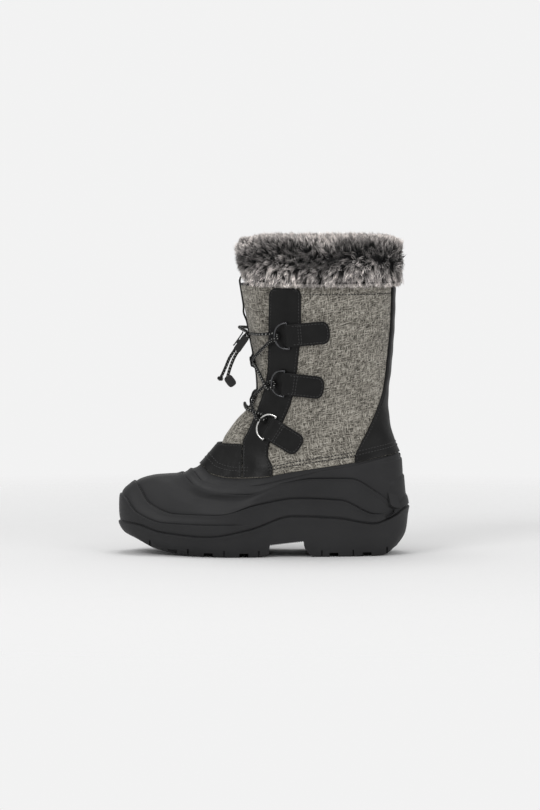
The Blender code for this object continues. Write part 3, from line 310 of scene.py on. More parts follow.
def monotone(stations, values, at):
    """A smooth curve through the values, with no overshoot between them and level ends."""
    stations = np.asarray(stations, float)
    values = np.asarray(values, float)
    step = np.diff(stations)
    rise = np.diff(values) / step
    slope = np.zeros(len(values))
    before, after = rise[:-1], rise[1:]
    same = before * after > 0
    slope[1:-1][same] = 2 * before[same] * after[same] / (before[same] + after[same])
    at = np.clip(at, stations[0], stations[-1])
    i = np.clip(np.searchsorted(stations, at, side="right") - 1, 0, len(step) - 1)
    f = (at - stations[i]) / step[i]
    start = values[i] * (1 + 2 * f) * (1 - f) ** 2 + values[i + 1] * f * f * (3 - 2 * f)
    return start + step[i] * f * (1 - f) * (slope[i] * (1 - f) - slope[i + 1] * f)


def row_height(row, share):
    if row in SHELL_ROWS:
        return SHELL_HEIGHT * monotone(HEIGHT_AT, row.heights, share)
    rim = SHELL_HEIGHT * monotone(HEIGHT_AT, RIM.heights, share)
    return rim + (SHAFT_HEIGHT - rim) * row.heights


def row_half_width(row, share):
    width = BALL_WIDTH if row in SHELL_ROWS else SHAFT_WIDTH
    square = row.fore + (row.aft - row.fore) * smooth(share)
    round_off = np.maximum(1 - np.abs(2 * share - 1) ** square, 0) ** (1 / square)
    return width / 2 * monotone(WIDTH_AT, row.widths, share) * round_off


def between_rows(values, level):
    """A smooth curve through the rows. values has a line for each row."""
    level = np.clip(level, 0, TOP_LEVEL)
    i = np.minimum(np.floor(level).astype(int), TOP_LEVEL - 1)
    columns = np.arange(values.shape[1])
    near = [values[np.clip(i + k, 0, TOP_LEVEL), columns] for k in (-1, 0, 1, 2)]
    return spline(*near, level - i)


def make_grid():
    """x ends, middle shift, half width and z of the outside on a fine grid of level and turn."""
    level, turn = np.meshgrid(GRID_LEVELS, GRID_TURNS, indexing="ij")
    level, share = level.reshape(-1), (1 - np.cos(turn.reshape(-1))) / 2
    same = np.ones(len(share))
    measures = (
        lambda row: along(row.front) * same,
        lambda row: along(row.back) * same,
        lambda row: row.bend * same,
        lambda row: row_half_width(row, share),
        lambda row: row_height(row, share),
    )
    grid = [between_rows(np.array([measure(row) for row in ROWS]), level) for measure in measures]
    return np.stack(grid).reshape(5, len(GRID_LEVELS), len(GRID_TURNS))


GRID_LEVELS = np.linspace(0, TOP_LEVEL, 40 * TOP_LEVEL + 1)
GRID_TURNS = np.linspace(0, math.pi, 241)
GRID = make_grid()


def section(level, turn):
    """front, back, bend, half width and z at this level and turn, read from the grid."""
    level, turn = paired(level, turn)
    turn = np.arccos(np.cos(turn))
    row = np.clip(level / TOP_LEVEL, 0, 1) * (len(GRID_LEVELS) - 1)
    column = np.clip(turn / math.pi, 0, 1) * (len(GRID_TURNS) - 1)
    i = np.minimum(row.astype(int), len(GRID_LEVELS) - 2)
    j = np.minimum(column.astype(int), len(GRID_TURNS) - 2)
    f, g = row - i, column - j
    low = GRID[:, i, j] * (1 - g) + GRID[:, i, j + 1] * g
    high = GRID[:, i + 1, j] * (1 - g) + GRID[:, i + 1, j + 1] * g
    return low * (1 - f) + high * f


def bare_surface(level, turn):
    """Points of the outside. turn is 0 at the toe, a quarter on the outer side and pi at the heel."""
    level, turn = paired(level, turn)
    front, back, bend, half, z = section(level, turn)
    x = front + (1 - np.cos(turn)) / 2 * (back - front)
    middle = BALL_WIDTH * monotone(CURVE_AT, CURVE, share_of(x)) * bend
    return np.stack([x, middle - np.sign(np.sin(turn)) * half, z], axis=-1)


def outward(level, turn):
    """Unit normals of the outside."""
    level, turn = paired(level, turn)
    low = np.clip(level - 0.05, 0, TOP_LEVEL)
    high = np.clip(level + 0.05, 0, TOP_LEVEL)
    rise = bare_surface(high, turn) - bare_surface(low, turn)
    round_about = bare_surface(level, turn + 0.03) - bare_surface(level, turn - 0.03)
    return unit(np.cross(round_about, rise))


def place(level, turn, offset=0.0):
    """Points at this offset outward from the outside."""
    return bare_surface(level, turn) + outward(level, turn) * np.asarray(offset, float)[..., None]


def turn_of(share, side=1):
    """side is 1 for the outer side and -1 for the inner."""
    return side * np.arccos(np.clip(1 - 2 * np.asarray(share, float), -1, 1))


def level_at(turn, z, lowest=RIM_LEVEL - 1):
    """The level whose height at this turn is z."""
    turn, z = paired(turn, z)
    low = np.full(turn.shape, float(lowest))
    high = np.full(turn.shape, float(TOP_LEVEL))
    return halving(low, high, lambda level: section(level, turn)[4] < z, 24)


def locate(x, z):
    """The level and turn of the point of the outside that shows at x, z from the side."""
    x, z = paired(x, z)
    turn = np.full(x.shape, math.pi / 2)
    for _ in range(10):
        level = level_at(turn, z)
        front, back = section(level, turn)[:2]
        turn = turn_of((x - front) / (back - front))
    return level, turn


def turn_on_edge(level, edge_x):
    """Where the row at this level meets an edge given as x for a height."""
    level = np.asarray(level, float)
    share = np.full(level.shape, 0.3)
    for _ in range(25):
        front, back, _bend, _half, z = section(level, turn_of(share))
        share = np.clip(0.5 * share + 0.5 * (edge_x(z) - front) / (back - front), 0, 1)
    return turn_of(share)


def floor_level(turn):
    """The level where the inside of the shell's wall meets the footbed."""
    def below(level):
        point = place(level, turn, -SHELL_WALL)
        return point[..., 2] < SHELL_HEIGHT * monotone(FLOOR_AT, FLOOR, share_of(point[..., 0]))

    return halving(np.full(turn.shape, 0.2), np.full(turn.shape, 6.5), below, 26)


def edge_curve(edges, end):
    """x of an overlay's front or back edge, for a height."""
    heights = [edge.height * SHAFT_HEIGHT for edge in edges]
    stations = [float(along(getattr(edge, end))) for edge in edges]
    return lambda z: monotone(heights, stations, z)


eyestay_front = edge_curve(EYESTAY_EDGES, "front")
eyestay_back = edge_curve(EYESTAY_EDGES, "back")
counter_front = edge_curve(COUNTER_EDGES, "front")


def throat_edge(z):
    return eyestay_front(z) + THROAT_INSET


def seam_edge(z):
    """The vamp's seam, a hair in front of the eyestay."""
    return along(VAMP_SEAM) - FIT_GAP + 0 * z


THROAT_LEVEL = RIM_LEVEL + 0.6
THROAT_OPEN = RIM_LEVEL + 0.9
TONGUE_TUCK = 0.06
# Section of the fur: how far out, as a share of FUR_OVERHANG or of FUR_DEPTH inward, and how high
FurPoint = namedtuple("FurPoint", "out height")
FUR_SECTION = (
    FurPoint(-0.30, 0.02), FurPoint(-0.75, 0.12), FurPoint(-1.0, 0.35), FurPoint(-1.0, 0.62),
    FurPoint(-0.80, 0.86), FurPoint(-0.40, 0.98), FurPoint(0.1, 1.0), FurPoint(0.75, 0.92),
    FurPoint(1.1, 0.72), FurPoint(1.15, 0.45), FurPoint(1.0, 0.18), FurPoint(0.72, 0.0),
    FurPoint(0.35, 0.02),
)


class Frame:
    """A flat frame on the outside where it shows at x, z: a backward, b along the bar, n out."""

    def __init__(self, x, z, tilt, side):
        self.x, self.z, self.tilt, self.side = x, z, math.radians(tilt), side
        self.point, self.n = self.on_surface(0.0, 0.0)
        back = self.on_surface(0.003, 0.0)[0] - self.on_surface(-0.003, 0.0)[0]
        back -= self.n * back.dot(self.n)
        self.a = unit(back)
        self.b = np.cross(self.n, self.a) * side
        across = TAB_WIDTH / 2 * np.array([-1, -0.5, 0, 0.5, 1])
        under_bar = self.on_surface(0 * across, across)[0] - self.point
        self.point = self.point + self.n * float((under_bar @ self.n).max())

    def on_surface(self, a, b):
        """The point and the normal of the outside at a, b measured in the side view."""
        x = self.x + a * math.cos(self.tilt) - b * math.sin(self.tilt)
        z = self.z + a * math.sin(self.tilt) + b * math.cos(self.tilt)
        level, turn = locate(x, z)
        return bare_surface(level, turn * self.side), outward(level, turn * self.side)

    def curved(self, a, b, n):
        point, normal = self.on_surface(a, b)
        return point + normal * n[..., None]

    def flat(self, a, b, n):
        return self.point + self.a * a + self.b * b + self.n * n

    def folded(self, a, b, n, reach):
        """Flat at the bar, and lying on the boot's curve from a = reach on."""
        flat = self.point + self.a * a[..., None] + self.b * b[..., None] + self.n * n[..., None]
        lying = smooth(a / reach)[..., None]
        return flat * (1 - lying) + self.curved(a, b, n) * lying


OVERLAY_TOP = EYESTAY_GAP + OVERLAY_WALL
BAR_HEIGHT = OVERLAY_TOP + FIT_GAP + TAB_SHEET + FIT_GAP + WIRE / 2
ARC_LIFT = 0.0022


def ring_frames(side):
    return [Frame(float(along(ring.x)), ring.height * SHAFT_HEIGHT, ring.tilt, side) for ring in RINGS]


def ring_path(frame):
    """The bar, then the arc of the D."""
    half = (RING_WIDTH - WIRE) / 2
    deep = RING_DEPTH - WIRE
    points = [(0, half * b) for b in (-0.955, 0, 0.955)]
    points += [(-0.065 * deep, half), (-0.27 * deep, 0.985 * half)]
    for degrees in (64, 48, 32, 16, 0, -16, -32, -48, -64):
        b = half * math.sin(math.radians(degrees))
        points.append((-arc_reach(b), b))
    points += [(-0.27 * deep, -0.985 * half), (-0.065 * deep, -half)]
    return [frame.flat(a, b, BAR_HEIGHT - ARC_LIFT * a / deep) for a, b in points]


def arc_reach(b):
    """How far the ring's arc stands in front of its bar at b."""
    return (RING_DEPTH - WIRE) * math.cos(math.asin(2 * b / (RING_WIDTH - WIRE))) ** RING_ROUND


# The webbing on the tongue: height as a share of SHAFT_HEIGHT and how far it stands off the tongue
WEB_ROUTE = (
    (0.548, 0.0), (0.553, 0.0003), (KEEPERS[1] - 0.0165, 0.0034), (KEEPERS[1], 0.0036),
    (KEEPERS[1] + 0.0165, 0.0034), (0.609, 0.0003), (0.650, 0.0), (0.690, 0.0003),
    (KEEPERS[0] - 0.0165, 0.0034), (KEEPERS[0], 0.0036), (KEEPERS[0] + 0.0165, 0.0034),
    (0.743, 0.0003), (0.800, 0.0), (0.860, 0.0), (0.895, 0.0016), (0.925, 0.0004), (0.990, 0.0),
)
# The pull loop over the top of the tongue, x and z from the tongue's top front edge
LOOP_ROUTE = ((-0.0004, 0.0040), (0.0014, 0.0080), (0.0048, 0.0096), (0.0082, 0.0084),
              (0.0098, 0.0040), (0.0094, -0.0020), (0.0088, -0.0100))
TONGUE_FACE = -0.0005
# How the cord goes round a ring's wire: a from the wire, b along it and n out of the ring's plane,
# in turns of the distance between the middles of cord and wire
BIGHT = ((-1.3, -1.0, 0.75), (0.0, -0.9, 1.0), (0.8, -0.35, 0.65), (1.05, 0.0, 0.0),
         (0.8, 0.35, -0.65), (0.0, 0.9, -1.0), (-1.3, 1.0, -0.85))


def bight(frame, rise):
    """Points over the wire and back under it. rise is where the cord crosses the wire, up the ring."""
    apart = (CORD + WIRE) / 2 + WIRE_GAP
    reach = arc_reach(rise)
    lift = BAR_HEIGHT + ARC_LIFT * reach / (RING_DEPTH - WIRE)
    return [frame.flat(-reach + a * apart, rise + b * apart, lift + n * apart) for a, b, n in BIGHT]


def front_point(height, sweep, off):
    """A point of the cord near the front: sweep is the turn round the boot, off is from the outside."""
    level = level_at(sweep, height * SHAFT_HEIGHT)
    return place(level, sweep, off)


def lace_route():
    """From the outer top ring down through the keepers to the bottom rings, and back up."""
    outer, inner = ring_frames(1), ring_frames(-1)
    seat = TONGUE_FACE + FIT_GAP + FACET_ROOM + CORD / 2
    on_strap = OVERLAY_TOP + FIT_GAP + FACET_ROOM + CORD / 2
    pass_gap = (CORD + FIT_GAP) / 2 / SHAFT_HEIGHT
    high, low = KEEPERS
    route = list(reversed(bight(outer[0], 0.0)))
    route += [front_point(0.752, 0.52, on_strap), front_point(0.735, 0.33, seat + 0.001)]
    route += [front_point(high + pass_gap, turn, seat) for turn in (0.14, 0, -0.16)]
    route += [front_point(high - 0.004, -0.30, seat + 0.0002), front_point(0.690, -0.42, on_strap)]
    route += bight(inner[1], 0.003)
    route += [front_point(0.612, -0.44, on_strap), front_point(0.596, -0.30, seat + 0.0040)]
    route += [front_point(low - pass_gap, turn, seat) for turn in (-0.16, 0, 0.15)]
    route += [front_point(0.545, 0.34, seat + 0.002)]
    route += bight(outer[2], 0.004)
    route += [front_point(0.530, 0.34, 0.0060), front_point(LOWEST_CROSSING, 0.0, 0.0052)]
    route += [front_point(0.530, -0.34, 0.0060)]
    route += reversed(bight(inner[2], 0.004))
    route += [front_point(0.553, -0.34, seat + 0.002)]
    route += [front_point(low + pass_gap, turn, seat) for turn in (-0.16, 0, 0.15)]
    route += [front_point(0.608, 0.40, on_strap)]
    route += reversed(bight(outer[1], -0.003))
    route += [front_point(0.690, 0.42, on_strap)]
    route += [front_point(high - pass_gap, turn, seat) for turn in (0.15, 0, -0.16)]
    route += [front_point(high + 0.006, -0.30, seat + 0.0036), front_point(0.757, -0.50, on_strap + 0.001)]
    route += bight(inner[0], 0.0)
    return route


class Plate:
    """The frame of a flat piece on the cords, from its top to its foot."""

    def __init__(self, top, foot):
        self.top = np.array(top)
        self.down = unit(np.array(foot) - self.top)
        self.back = np.array([-self.down[2], 0, self.down[0]])

    def point(self, u, w, across=0.0):
        return self.top + self.down * u + self.back * w + np.array([0, across, 0])


# The picture, and the camera that looks at the boot as it does
PICTURE_WIDTH = 540
PICTURE_HEIGHT = 810
METRES_PER_PIXEL = 0.000954
CENTRE_COLUMN = 263.75
GROUND_ROW = 555.5
AIM_SIDE = -0.020
CAMERA_DISTANCE = 4.0
CAMERA_RISE = 3.6
CAMERA_YAW = 0.0
SENSOR = 36

# The moulded steps: how far a step turns in levels, the depth and width of the fine line above it,
# and how much shallower the short ribs at the heel are than the long lines
STEP_ROUND = 0.035
LINE_GROOVE = 0.00042
LINE_WIDTH = 0.045
HEEL_RIB = 0.5


def relief(level, turn):
    """The moulded steps: each stands proud below its line and dips above it."""
    share = (1 - np.cos(turn)) / 2
    total = np.zeros(np.broadcast(level, turn).shape)
    for step in STEPS:
        away = level - step.level
        below = bell(away, 0.30)
        above = -0.6 * bell(away, 0.25)
        turned = smooth((away + STEP_ROUND) / (2 * STEP_ROUND))
        stretch = smooth((share - step.start) / 0.05) * smooth((step.end - share) / 0.08)
        depth = step.depth * (HEEL_RIB if step.start > 0.5 else 1.0)
        height = LINE_DEPTH * (below + (above - below) * turned)
        total += depth * (height - LINE_GROOVE * bell(away - STEP_ROUND, LINE_WIDTH)) * stretch
    return total


# Materials

def new_material(name, roughness, specular=0.5, metallic=0.0):
    made = bpy.data.materials.new(name)
    made.use_nodes = True
    shader = made.node_tree.nodes["Principled BSDF"]
    for key, value in (("Roughness", roughness), ("Specular IOR Level", specular), ("Metallic", metallic)):
        shader.inputs[key].default_value = value
    return made, made.node_tree, shader


def node(tree, kind, values=(), **settings):
    made = tree.nodes.new(kind)
    for key, value in settings.items():
        setattr(made, key, value)
    for key, value in dict(values).items():
        if isinstance(value, bpy.types.NodeSocket):
            tree.links.new(value, made.inputs[key])
        else:
            made.inputs[key].default_value = value
    return made


def noise(tree, vector, scale, detail=3.0, roughness=0.5):
    values = {"Vector": vector, "Scale": scale, "Detail": detail, "Roughness": roughness}
    return node(tree, "ShaderNodeTexNoise", values).outputs["Fac"]


def ramp(tree, factor, stops):
    """Stops are a place and a colour, or one number for a grey."""
    made = node(tree, "ShaderNodeValToRGB", {"Fac": factor})
    while len(made.color_ramp.elements) < len(stops):
        made.color_ramp.elements.new(0.5)
    for element, (at, colour) in zip(made.color_ramp.elements, stops):
        element.position = at
        element.color = (*np.broadcast_to(colour, 3), 1)
    return made.outputs["Color"]


def stretched(tree, vector, scale):
    return node(tree, "ShaderNodeMapping", {"Vector": vector, "Scale": scale}).outputs["Vector"]


def bump(tree, height, distance, strength=1.0, under=None):
    values = {"Height": height, "Distance": distance, "Strength": strength}
    if under:
        values["Normal"] = under
    return node(tree, "ShaderNodeBump", values).outputs["Normal"]


def maths(tree, operation, first, second=0.0):
    return node(tree, "ShaderNodeMath", {0: first, 1: second}, operation=operation).outputs[0]


def object_place(tree):
    return node(tree, "ShaderNodeTexCoord").outputs["Object"]


def cloudy_material(name, roughness, specular, cloud, colours, gloss=(), raised=(), grain=(), metallic=0.0):
    """Colours, and roughness where gloss has its stops, follow a cloud of noise.

    raised is the height and strength of the bumps, which follow the grain or else the cloud.
    """
    made, tree, shader = new_material(name, roughness, specular, metallic)
    place_at = object_place(tree)
    factor = noise(tree, place_at, *cloud)
    tree.links.new(ramp(tree, factor, colours), shader.inputs["Base Color"])
    if gloss:
        tree.links.new(ramp(tree, factor, gloss), shader.inputs["Roughness"])
    if raised:
        height = noise(tree, place_at, *grain) if grain else factor
        tree.links.new(bump(tree, height, *raised), shader.inputs["Normal"])
    return made


def rubber_material():
    return cloudy_material("rubber", 0.55, 0.22, (22, 4),
                           ((0.3, (0.020, 0.020, 0.021)), (0.7, (0.027, 0.027, 0.028))),
                           ((0.3, 0.47), (0.7, 0.60)), (0.00012, 0.5), (1400, 2))


def leather_material():
    """Coated leather: a fine pebble over slow ripples."""
    made = cloudy_material("leather", 0.42, 0.2, (60, 4), ((0.3, 0.0045), (0.75, (0.009, 0.009, 0.00882))),
                           ((0.3, 0.36), (0.7, 0.50)))
    tree = made.node_tree
    place_at = object_place(tree)
    cells = node(tree, "ShaderNodeTexVoronoi", {"Vector": place_at, "Scale": 1050.0},
                 feature="DISTANCE_TO_EDGE")
    fine = bump(tree, cells.outputs["Distance"], 0.00010, 0.6)
    ripples = bump(tree, noise(tree, place_at, 75, 4), 0.0016, 0.5, fine)
    tree.links.new(ripples, tree.nodes["Principled BSDF"].inputs["Normal"])
    return made


def tweed_material():
    """Melange basket weave: uneven threads both ways, light and dark."""
    made, tree, shader = new_material("tweed", 0.9, 0.2)
    cloth = node(tree, "ShaderNodeUVMap").outputs["UV"]
    across = noise(tree, stretched(tree, cloth, (150, 860, 1)), 1.0, 2, 0.6)
    upward = noise(tree, stretched(tree, cloth, (860, 150, 1)), 1.0, 2, 0.6)
    fleck = noise(tree, cloth, 700, 3, 0.7)
    threads = maths(tree, "ADD", maths(tree, "MULTIPLY", maths(tree, "MAXIMUM", across, upward), 0.7),
                    maths(tree, "MULTIPLY", fleck, 0.35))
    cloud = noise(tree, cloth, 40, 3)
    mixed = maths(tree, "ADD", threads, maths(tree, "MULTIPLY", cloud, 0.10))
    colour = ramp(tree, mixed, ((0.50, (0.035, 0.031, 0.025)), (0.580, (0.165, 0.153, 0.130)),
                                (0.66, (0.375, 0.352, 0.305)), (0.76, (0.60, 0.575, 0.51))))
    tree.links.new(colour, shader.inputs["Base Color"])
    shader.inputs["Sheen Weight"].default_value = 0.15
    waves = []
    for way in ("X", "Y"):
        values = {"Vector": cloth, "Scale": 560.0, "Distortion": 1.5}
        waves.append(node(tree, "ShaderNodeTexWave", values, bands_direction=way).outputs["Fac"])
    under = bump(tree, maths(tree, "MAXIMUM", *waves), 0.00025, 0.6)
    tree.links.new(bump(tree, threads, 0.0006, 0.7, under), shader.inputs["Normal"])
    return made


def fur_material():
    made, tree, shader = new_material("fur", 0.75, 0.2)
    shade = node(tree, "ShaderNodeAttribute", attribute_name="shade")
    tree.links.new(shade.outputs["Color"], shader.inputs["Base Color"])
    shader.inputs["Sheen Weight"].default_value = 0.25
    return made


def dark_cloth(name, light, scale=900):
    return cloudy_material(name, 0.85, 0.15, (scale, 3, 0.6), ((0.35, light * 0.5), (0.7, light * 1.4)),
                           raised=(0.0003, 0.6))


def wire_material(name, colour, roughness):
    dull = tuple(0.8 * part for part in colour)
    return cloudy_material(name, roughness, 0.5, (300, 4, 0.6), ((0.35, dull), (0.65, colour)),
                           ((0.3, roughness * 0.8), (0.7, roughness * 1.5)), metallic=1.0)


def cord_material():
    """Braided elastic cord: black, with light flecks in two spirals. u runs along it in metres."""
    made, tree, shader = new_material("cord", 0.62, 0.2)
    run = node(tree, "ShaderNodeUVMap").outputs["UV"]
    braid = node(tree, "ShaderNodeSeparateXYZ", {"Vector": stretched(tree, run, (330, 1, 1))}).outputs
    plait = node(tree, "ShaderNodeTexChecker", {"Vector": stretched(tree, run, (1500, 6, 1)), "Scale": 1.0})

    def off_middle(spiral):
        """How far this spiral's phase is from the middle of its thread."""
        phase = maths(tree, "FRACT", spiral)
        return maths(tree, "ABSOLUTE", maths(tree, "SUBTRACT", phase, 0.5))

    first = off_middle(maths(tree, "ADD", braid["X"], braid["Y"]))
    second = off_middle(maths(tree, "SUBTRACT", braid["X"], maths(tree, "MULTIPLY", braid["Y"], 2.0)))
    near = maths(tree, "SUBTRACT", 1.0, maths(tree, "MULTIPLY", first, 5.5))
    crossed = maths(tree, "LESS_THAN", second, 0.24)
    fleck = maths(tree, "MULTIPLY", maths(tree, "MAXIMUM", near), crossed)
    colour = ramp(tree, fleck, ((0.0, 0.010), (0.35, 0.05), (0.7, (0.50, 0.50, 0.48))))
    tree.links.new(colour, shader.inputs["Base Color"])
    tree.links.new(bump(tree, plait.outputs["Fac"], 0.00015, 0.5), shader.inputs["Normal"])
    return made


def plastic_material():
    return cloudy_material("plastic", 0.35, 0.3, (500, 3), ((0.3, 0.012), (0.7, 0.022)),
                           raised=(0.00008, 0.5))


def thread_material():
    return cloudy_material("thread", 0.55, 0.5, (2600, 1), ((0.4, 0.009), (0.65, 0.036)),
                           raised=(0.0001, 0.6))


# Mesh helpers

def add_object(name, data, at=SHIFT):
    made = bpy.data.objects.new(name, data)
    bpy.context.scene.collection.objects.link(made)
    made.location = at
    return made


def as_piece(made, replaces):
    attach(made, "root")
    if replaces:
        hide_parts(*replaces)
    return made


def mesh_piece(name, points, faces, finish, slot, replaces=(), corner_uv=None, shade=None):
    """A piece of the boot from an array of points and one of faces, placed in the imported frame."""
    faces = np.asarray(faces, np.int32)
    mesh = bpy.data.meshes.new(name)
    mesh.vertices.add(len(points))
    mesh.vertices.foreach_set("co", np.asarray(points, np.float32).ravel())
    mesh.loops.add(faces.size)
    mesh.loops.foreach_set("vertex_index", faces.ravel())
    mesh.polygons.add(len(faces))
    mesh.polygons.foreach_set("loop_start", np.arange(len(faces), dtype=np.int32) * faces.shape[1])
    mesh.update(calc_edges=True)
    if corner_uv is not None:
        layer = mesh.uv_layers.new(name="UVMap")
        layer.data.foreach_set("uv", np.asarray(corner_uv, np.float32).ravel())
    if shade is not None:
        layer = mesh.color_attributes.new("shade", "FLOAT_COLOR", "POINT")
        layer.data.foreach_set("color", np.asarray(shade, np.float32).ravel())
    mesh.shade_smooth()
    mesh.materials.append(finish)
    return as_piece(add_object(name, mesh), replaces)


def grid_faces(rows, columns, closed=False):
    i, j = np.meshgrid(np.arange(rows - 1), np.arange(columns if closed else columns - 1), indexing="ij")
    low, high = i * columns, (i + 1) * columns
    after = (j + 1) % columns
    return np.stack([low + j, low + after, high + after, high + j], -1).reshape(-1, 4)


def face_corners(uv):
    """The uv of each face's corners, from a grid of uv that has one more row and column."""
    return np.stack([uv[:-1, :-1], uv[:-1, 1:], uv[1:, 1:], uv[1:, :-1]], axis=2).reshape(-1, 2)


def run_along(points):
    """Distance along a line of points, or along several side by side."""
    steps = np.linalg.norm(np.diff(points, axis=0), axis=-1)
    return np.concatenate([np.zeros((1, *steps.shape[1:])), np.cumsum(steps, axis=0)])


def grid_uv(points):
    """Corner coordinates in metres of cloth: along each row from its middle, and up each column."""
    run = run_along(points.swapaxes(0, 1)).T
    return face_corners(np.stack([run - run[:, -1:] / 2, run_along(points)], axis=-1))


def grid_piece(name, points, finish, slot, replaces):
    faces = grid_faces(*points.shape[:2])
    return mesh_piece(name, points.reshape(-1, 3), faces, finish, slot, replaces, grid_uv(points))


def curve_through(route, spacing, closed=False):
    """Points on a smooth curve through the route, about as far apart as spacing."""
    route = np.array([np.asarray(point, float) for point in route])
    if closed:
        ends = np.concatenate([route[-1:], route, route[:2]])
    else:
        ends = np.concatenate([[2 * route[0] - route[1]], route, [2 * route[-1] - route[-2]]])
    points = []
    for i in range(len(ends) - 3):
        near = ends[i : i + 4]
        steps = max(2, int(np.linalg.norm(near[2] - near[1]) / spacing))
        points += [spline(*near, f) for f in np.arange(steps) / steps]
    return np.array(points if closed else [*points, route[-1]])


def tube_piece(name, path, radius, sides, finish, slot, replaces=(), closed=False):
    """A round tube along the path, its uv running along it in metres and once round it."""
    before = np.roll(path, 1, axis=0) if closed else np.concatenate([path[:1], path[:-1]])
    after = np.roll(path, -1, axis=0) if closed else np.concatenate([path[1:], path[-1:]])
    ahead = unit(after - before)
    across = np.cross(ahead[0], [0.3, 0.5, 0.8])
    first = []
    for direction in ahead:
        across = unit(across - direction * across.dot(direction))
        first.append(across)
    first = np.array(first)
    angle = turns(sides)[:, None]
    ring = first[:, None] * np.cos(angle) + np.cross(ahead, first)[:, None] * np.sin(angle)
    loops = path[:, None] + ring * radius
    if closed:
        loops = np.concatenate([loops, loops[:1]])
    else:
        tip = 0.55 * radius
        start = path[0] - ahead[0] * tip + (loops[0] - path[0]) * 0.45
        end = path[-1] + ahead[-1] * tip + (loops[-1] - path[-1]) * 0.45
        loops = np.concatenate([[start], loops, [end]])
    count = len(loops)
    faces = grid_faces(count, sides, True)
    uv = np.meshgrid(run_along(loops.mean(axis=1)), np.arange(sides + 1) / sides, indexing="ij")
    corners = face_corners(np.stack(uv, axis=-1))
    points = loops.reshape(-1, 3)
    if not closed:
        caps = []
        for start, centre in ((0, len(points)), ((count - 1) * sides, len(points) + 1)):
            for j in range(0, sides, 2):
                cap = [start + j, start + j + 1, start + (j + 2) % sides]
                caps.append([*(cap if start else cap[::-1]), centre])
        points = np.concatenate([points, loops[:1].mean(axis=1), loops[-1:].mean(axis=1)])
        faces = np.concatenate([faces, caps])
        corners = np.concatenate([corners, np.zeros((4 * len(caps), 2))])
    return mesh_piece(name, points, faces, finish, slot, replaces, corners)


def solid_mesh(name, points, faces):
    """A closed mesh with its normals outward."""
    mesh = bpy.data.meshes.new(name)
    mesh.from_pydata([tuple(point) for point in points], [], faces)
    build = bmesh.new()
    build.from_mesh(mesh)
    bmesh.ops.recalc_face_normals(build, faces=build.faces)
    build.to_mesh(mesh)
    build.free()
    return mesh


def plate_mesh(outline, place_point, depth):
    """Points and faces of a flat plate with this outline."""
    count = len(outline)
    points = [place_point(u, w, across) for across in (-depth / 2, depth / 2) for u, w in outline]
    faces = [tuple(range(count)), tuple(reversed(range(count, 2 * count)))]
    faces += [(k, (k + 1) % count, count + (k + 1) % count, count + k) for k in range(count)]
    return points, faces


# Shell and sole

SHELL_TURNS = 264
SHELL_LEVELS = 130
# Fine slits in the tread's edge along SOLE_LENGTH
SLITS = (0.112, 0.243, 0.366, 0.484, 0.698, 0.805, 0.921)
SLIT_WIDTH = 0.0014
SLIT_RISE = 0.0066
SLIT_DEPTH = 0.003
SLIT_LEVEL = 0.6
SHARP_EDGE = 38


def shell_levels():
    """Even levels, and closer ones where the moulded steps turn."""
    levels = set(np.linspace(0, RIM_LEVEL, SHELL_LEVELS).round(4))
    for step in STEPS:
        levels |= set((step.level + STEP_ROUND * np.linspace(-2.0, 2.0, 13)).round(4))
    return np.array(sorted(level for level in levels if level <= RIM_LEVEL))


def tread_turn(where):
    return turn_of((where - TREAD.front) / (TREAD.back - TREAD.front))


def groove_spans():
    """Place, two ends across the sole, width and rise of each groove and slit."""
    spans = []
    for groove in SIDE_GROOVES:
        edge = groove.uncut * BALL_WIDTH
        spans.append((groove.place, edge, BALL_WIDTH, GROOVE_WIDTH, GROOVE_DEPTH))
        spans.append((groove.place, -BALL_WIDTH, -edge, GROOVE_WIDTH, GROOVE_DEPTH))
    for groove in MIDDLE_GROOVES:
        edge = groove.uncut * BALL_WIDTH
        spans.append((groove.place, -edge, edge, 0.75 * GROOVE_WIDTH, GROOVE_DEPTH))
    for slit in SLITS:
        for side in (1, -1):
            skin = float(bare_surface(SLIT_LEVEL, side * tread_turn(slit))[1])
            near, far = sorted((skin + side * SLIT_DEPTH, -side * BALL_WIDTH))
            spans.append((slit, near, far, SLIT_WIDTH, SLIT_RISE))
    return spans


def groove_boxes():
    """Points and faces of the boxes that cut the grooves and slits."""
    points, faces = [], []
    for where, near, far, width, rise in groove_spans():
        x = float(along(where))
        ground = float(section(0, tread_turn(where))[4])
        start = len(points)
        points += [(x + beside, y, z) for beside in (-width / 2, width / 2) for y in (near, far)
                   for z in (-GROOVE_DEPTH, ground + rise)]
        for face in ((0, 1, 3, 2), (4, 6, 7, 5), (0, 4, 5, 1), (2, 3, 7, 6), (0, 2, 6, 4), (1, 5, 7, 3)):
            faces.append(tuple(start + k for k in face))
    return points, faces


def arch_outline():
    """The arch under the waist from the side, with its fine ribs."""
    deep = -ARCH_HEIGHT
    start, front, back, end = (float(along(x)) for x in (ARCH_START, ARCH_FRONT, ARCH_BACK, ARCH_END))
    outline = [(start, deep), (start, -ARCH_RIB), (front - ARCH_RIB, 0.2 * ARCH_HEIGHT)]
    for k in range(4 * ARCH_RIBS + 1):
        share = k / (4 * ARCH_RIBS)
        rib = ARCH_RIB if k % 2 else 0
        outline.append((front + (back - front) * share, ARCH_HEIGHT * (0.8 + 0.25 * share) + rib))
    for degrees in (15, 25, 35, 48, 60, 70, 80):
        angle = math.radians(degrees)
        height = ARCH_HEIGHT * 1.05 * (1 - math.sin(angle))
        outline.append((back + (end - back) * (1 - math.cos(angle)), height))
    return outline + [(end + ARCH_RIB, -ARCH_RIB), (end + ARCH_RIB, deep)]


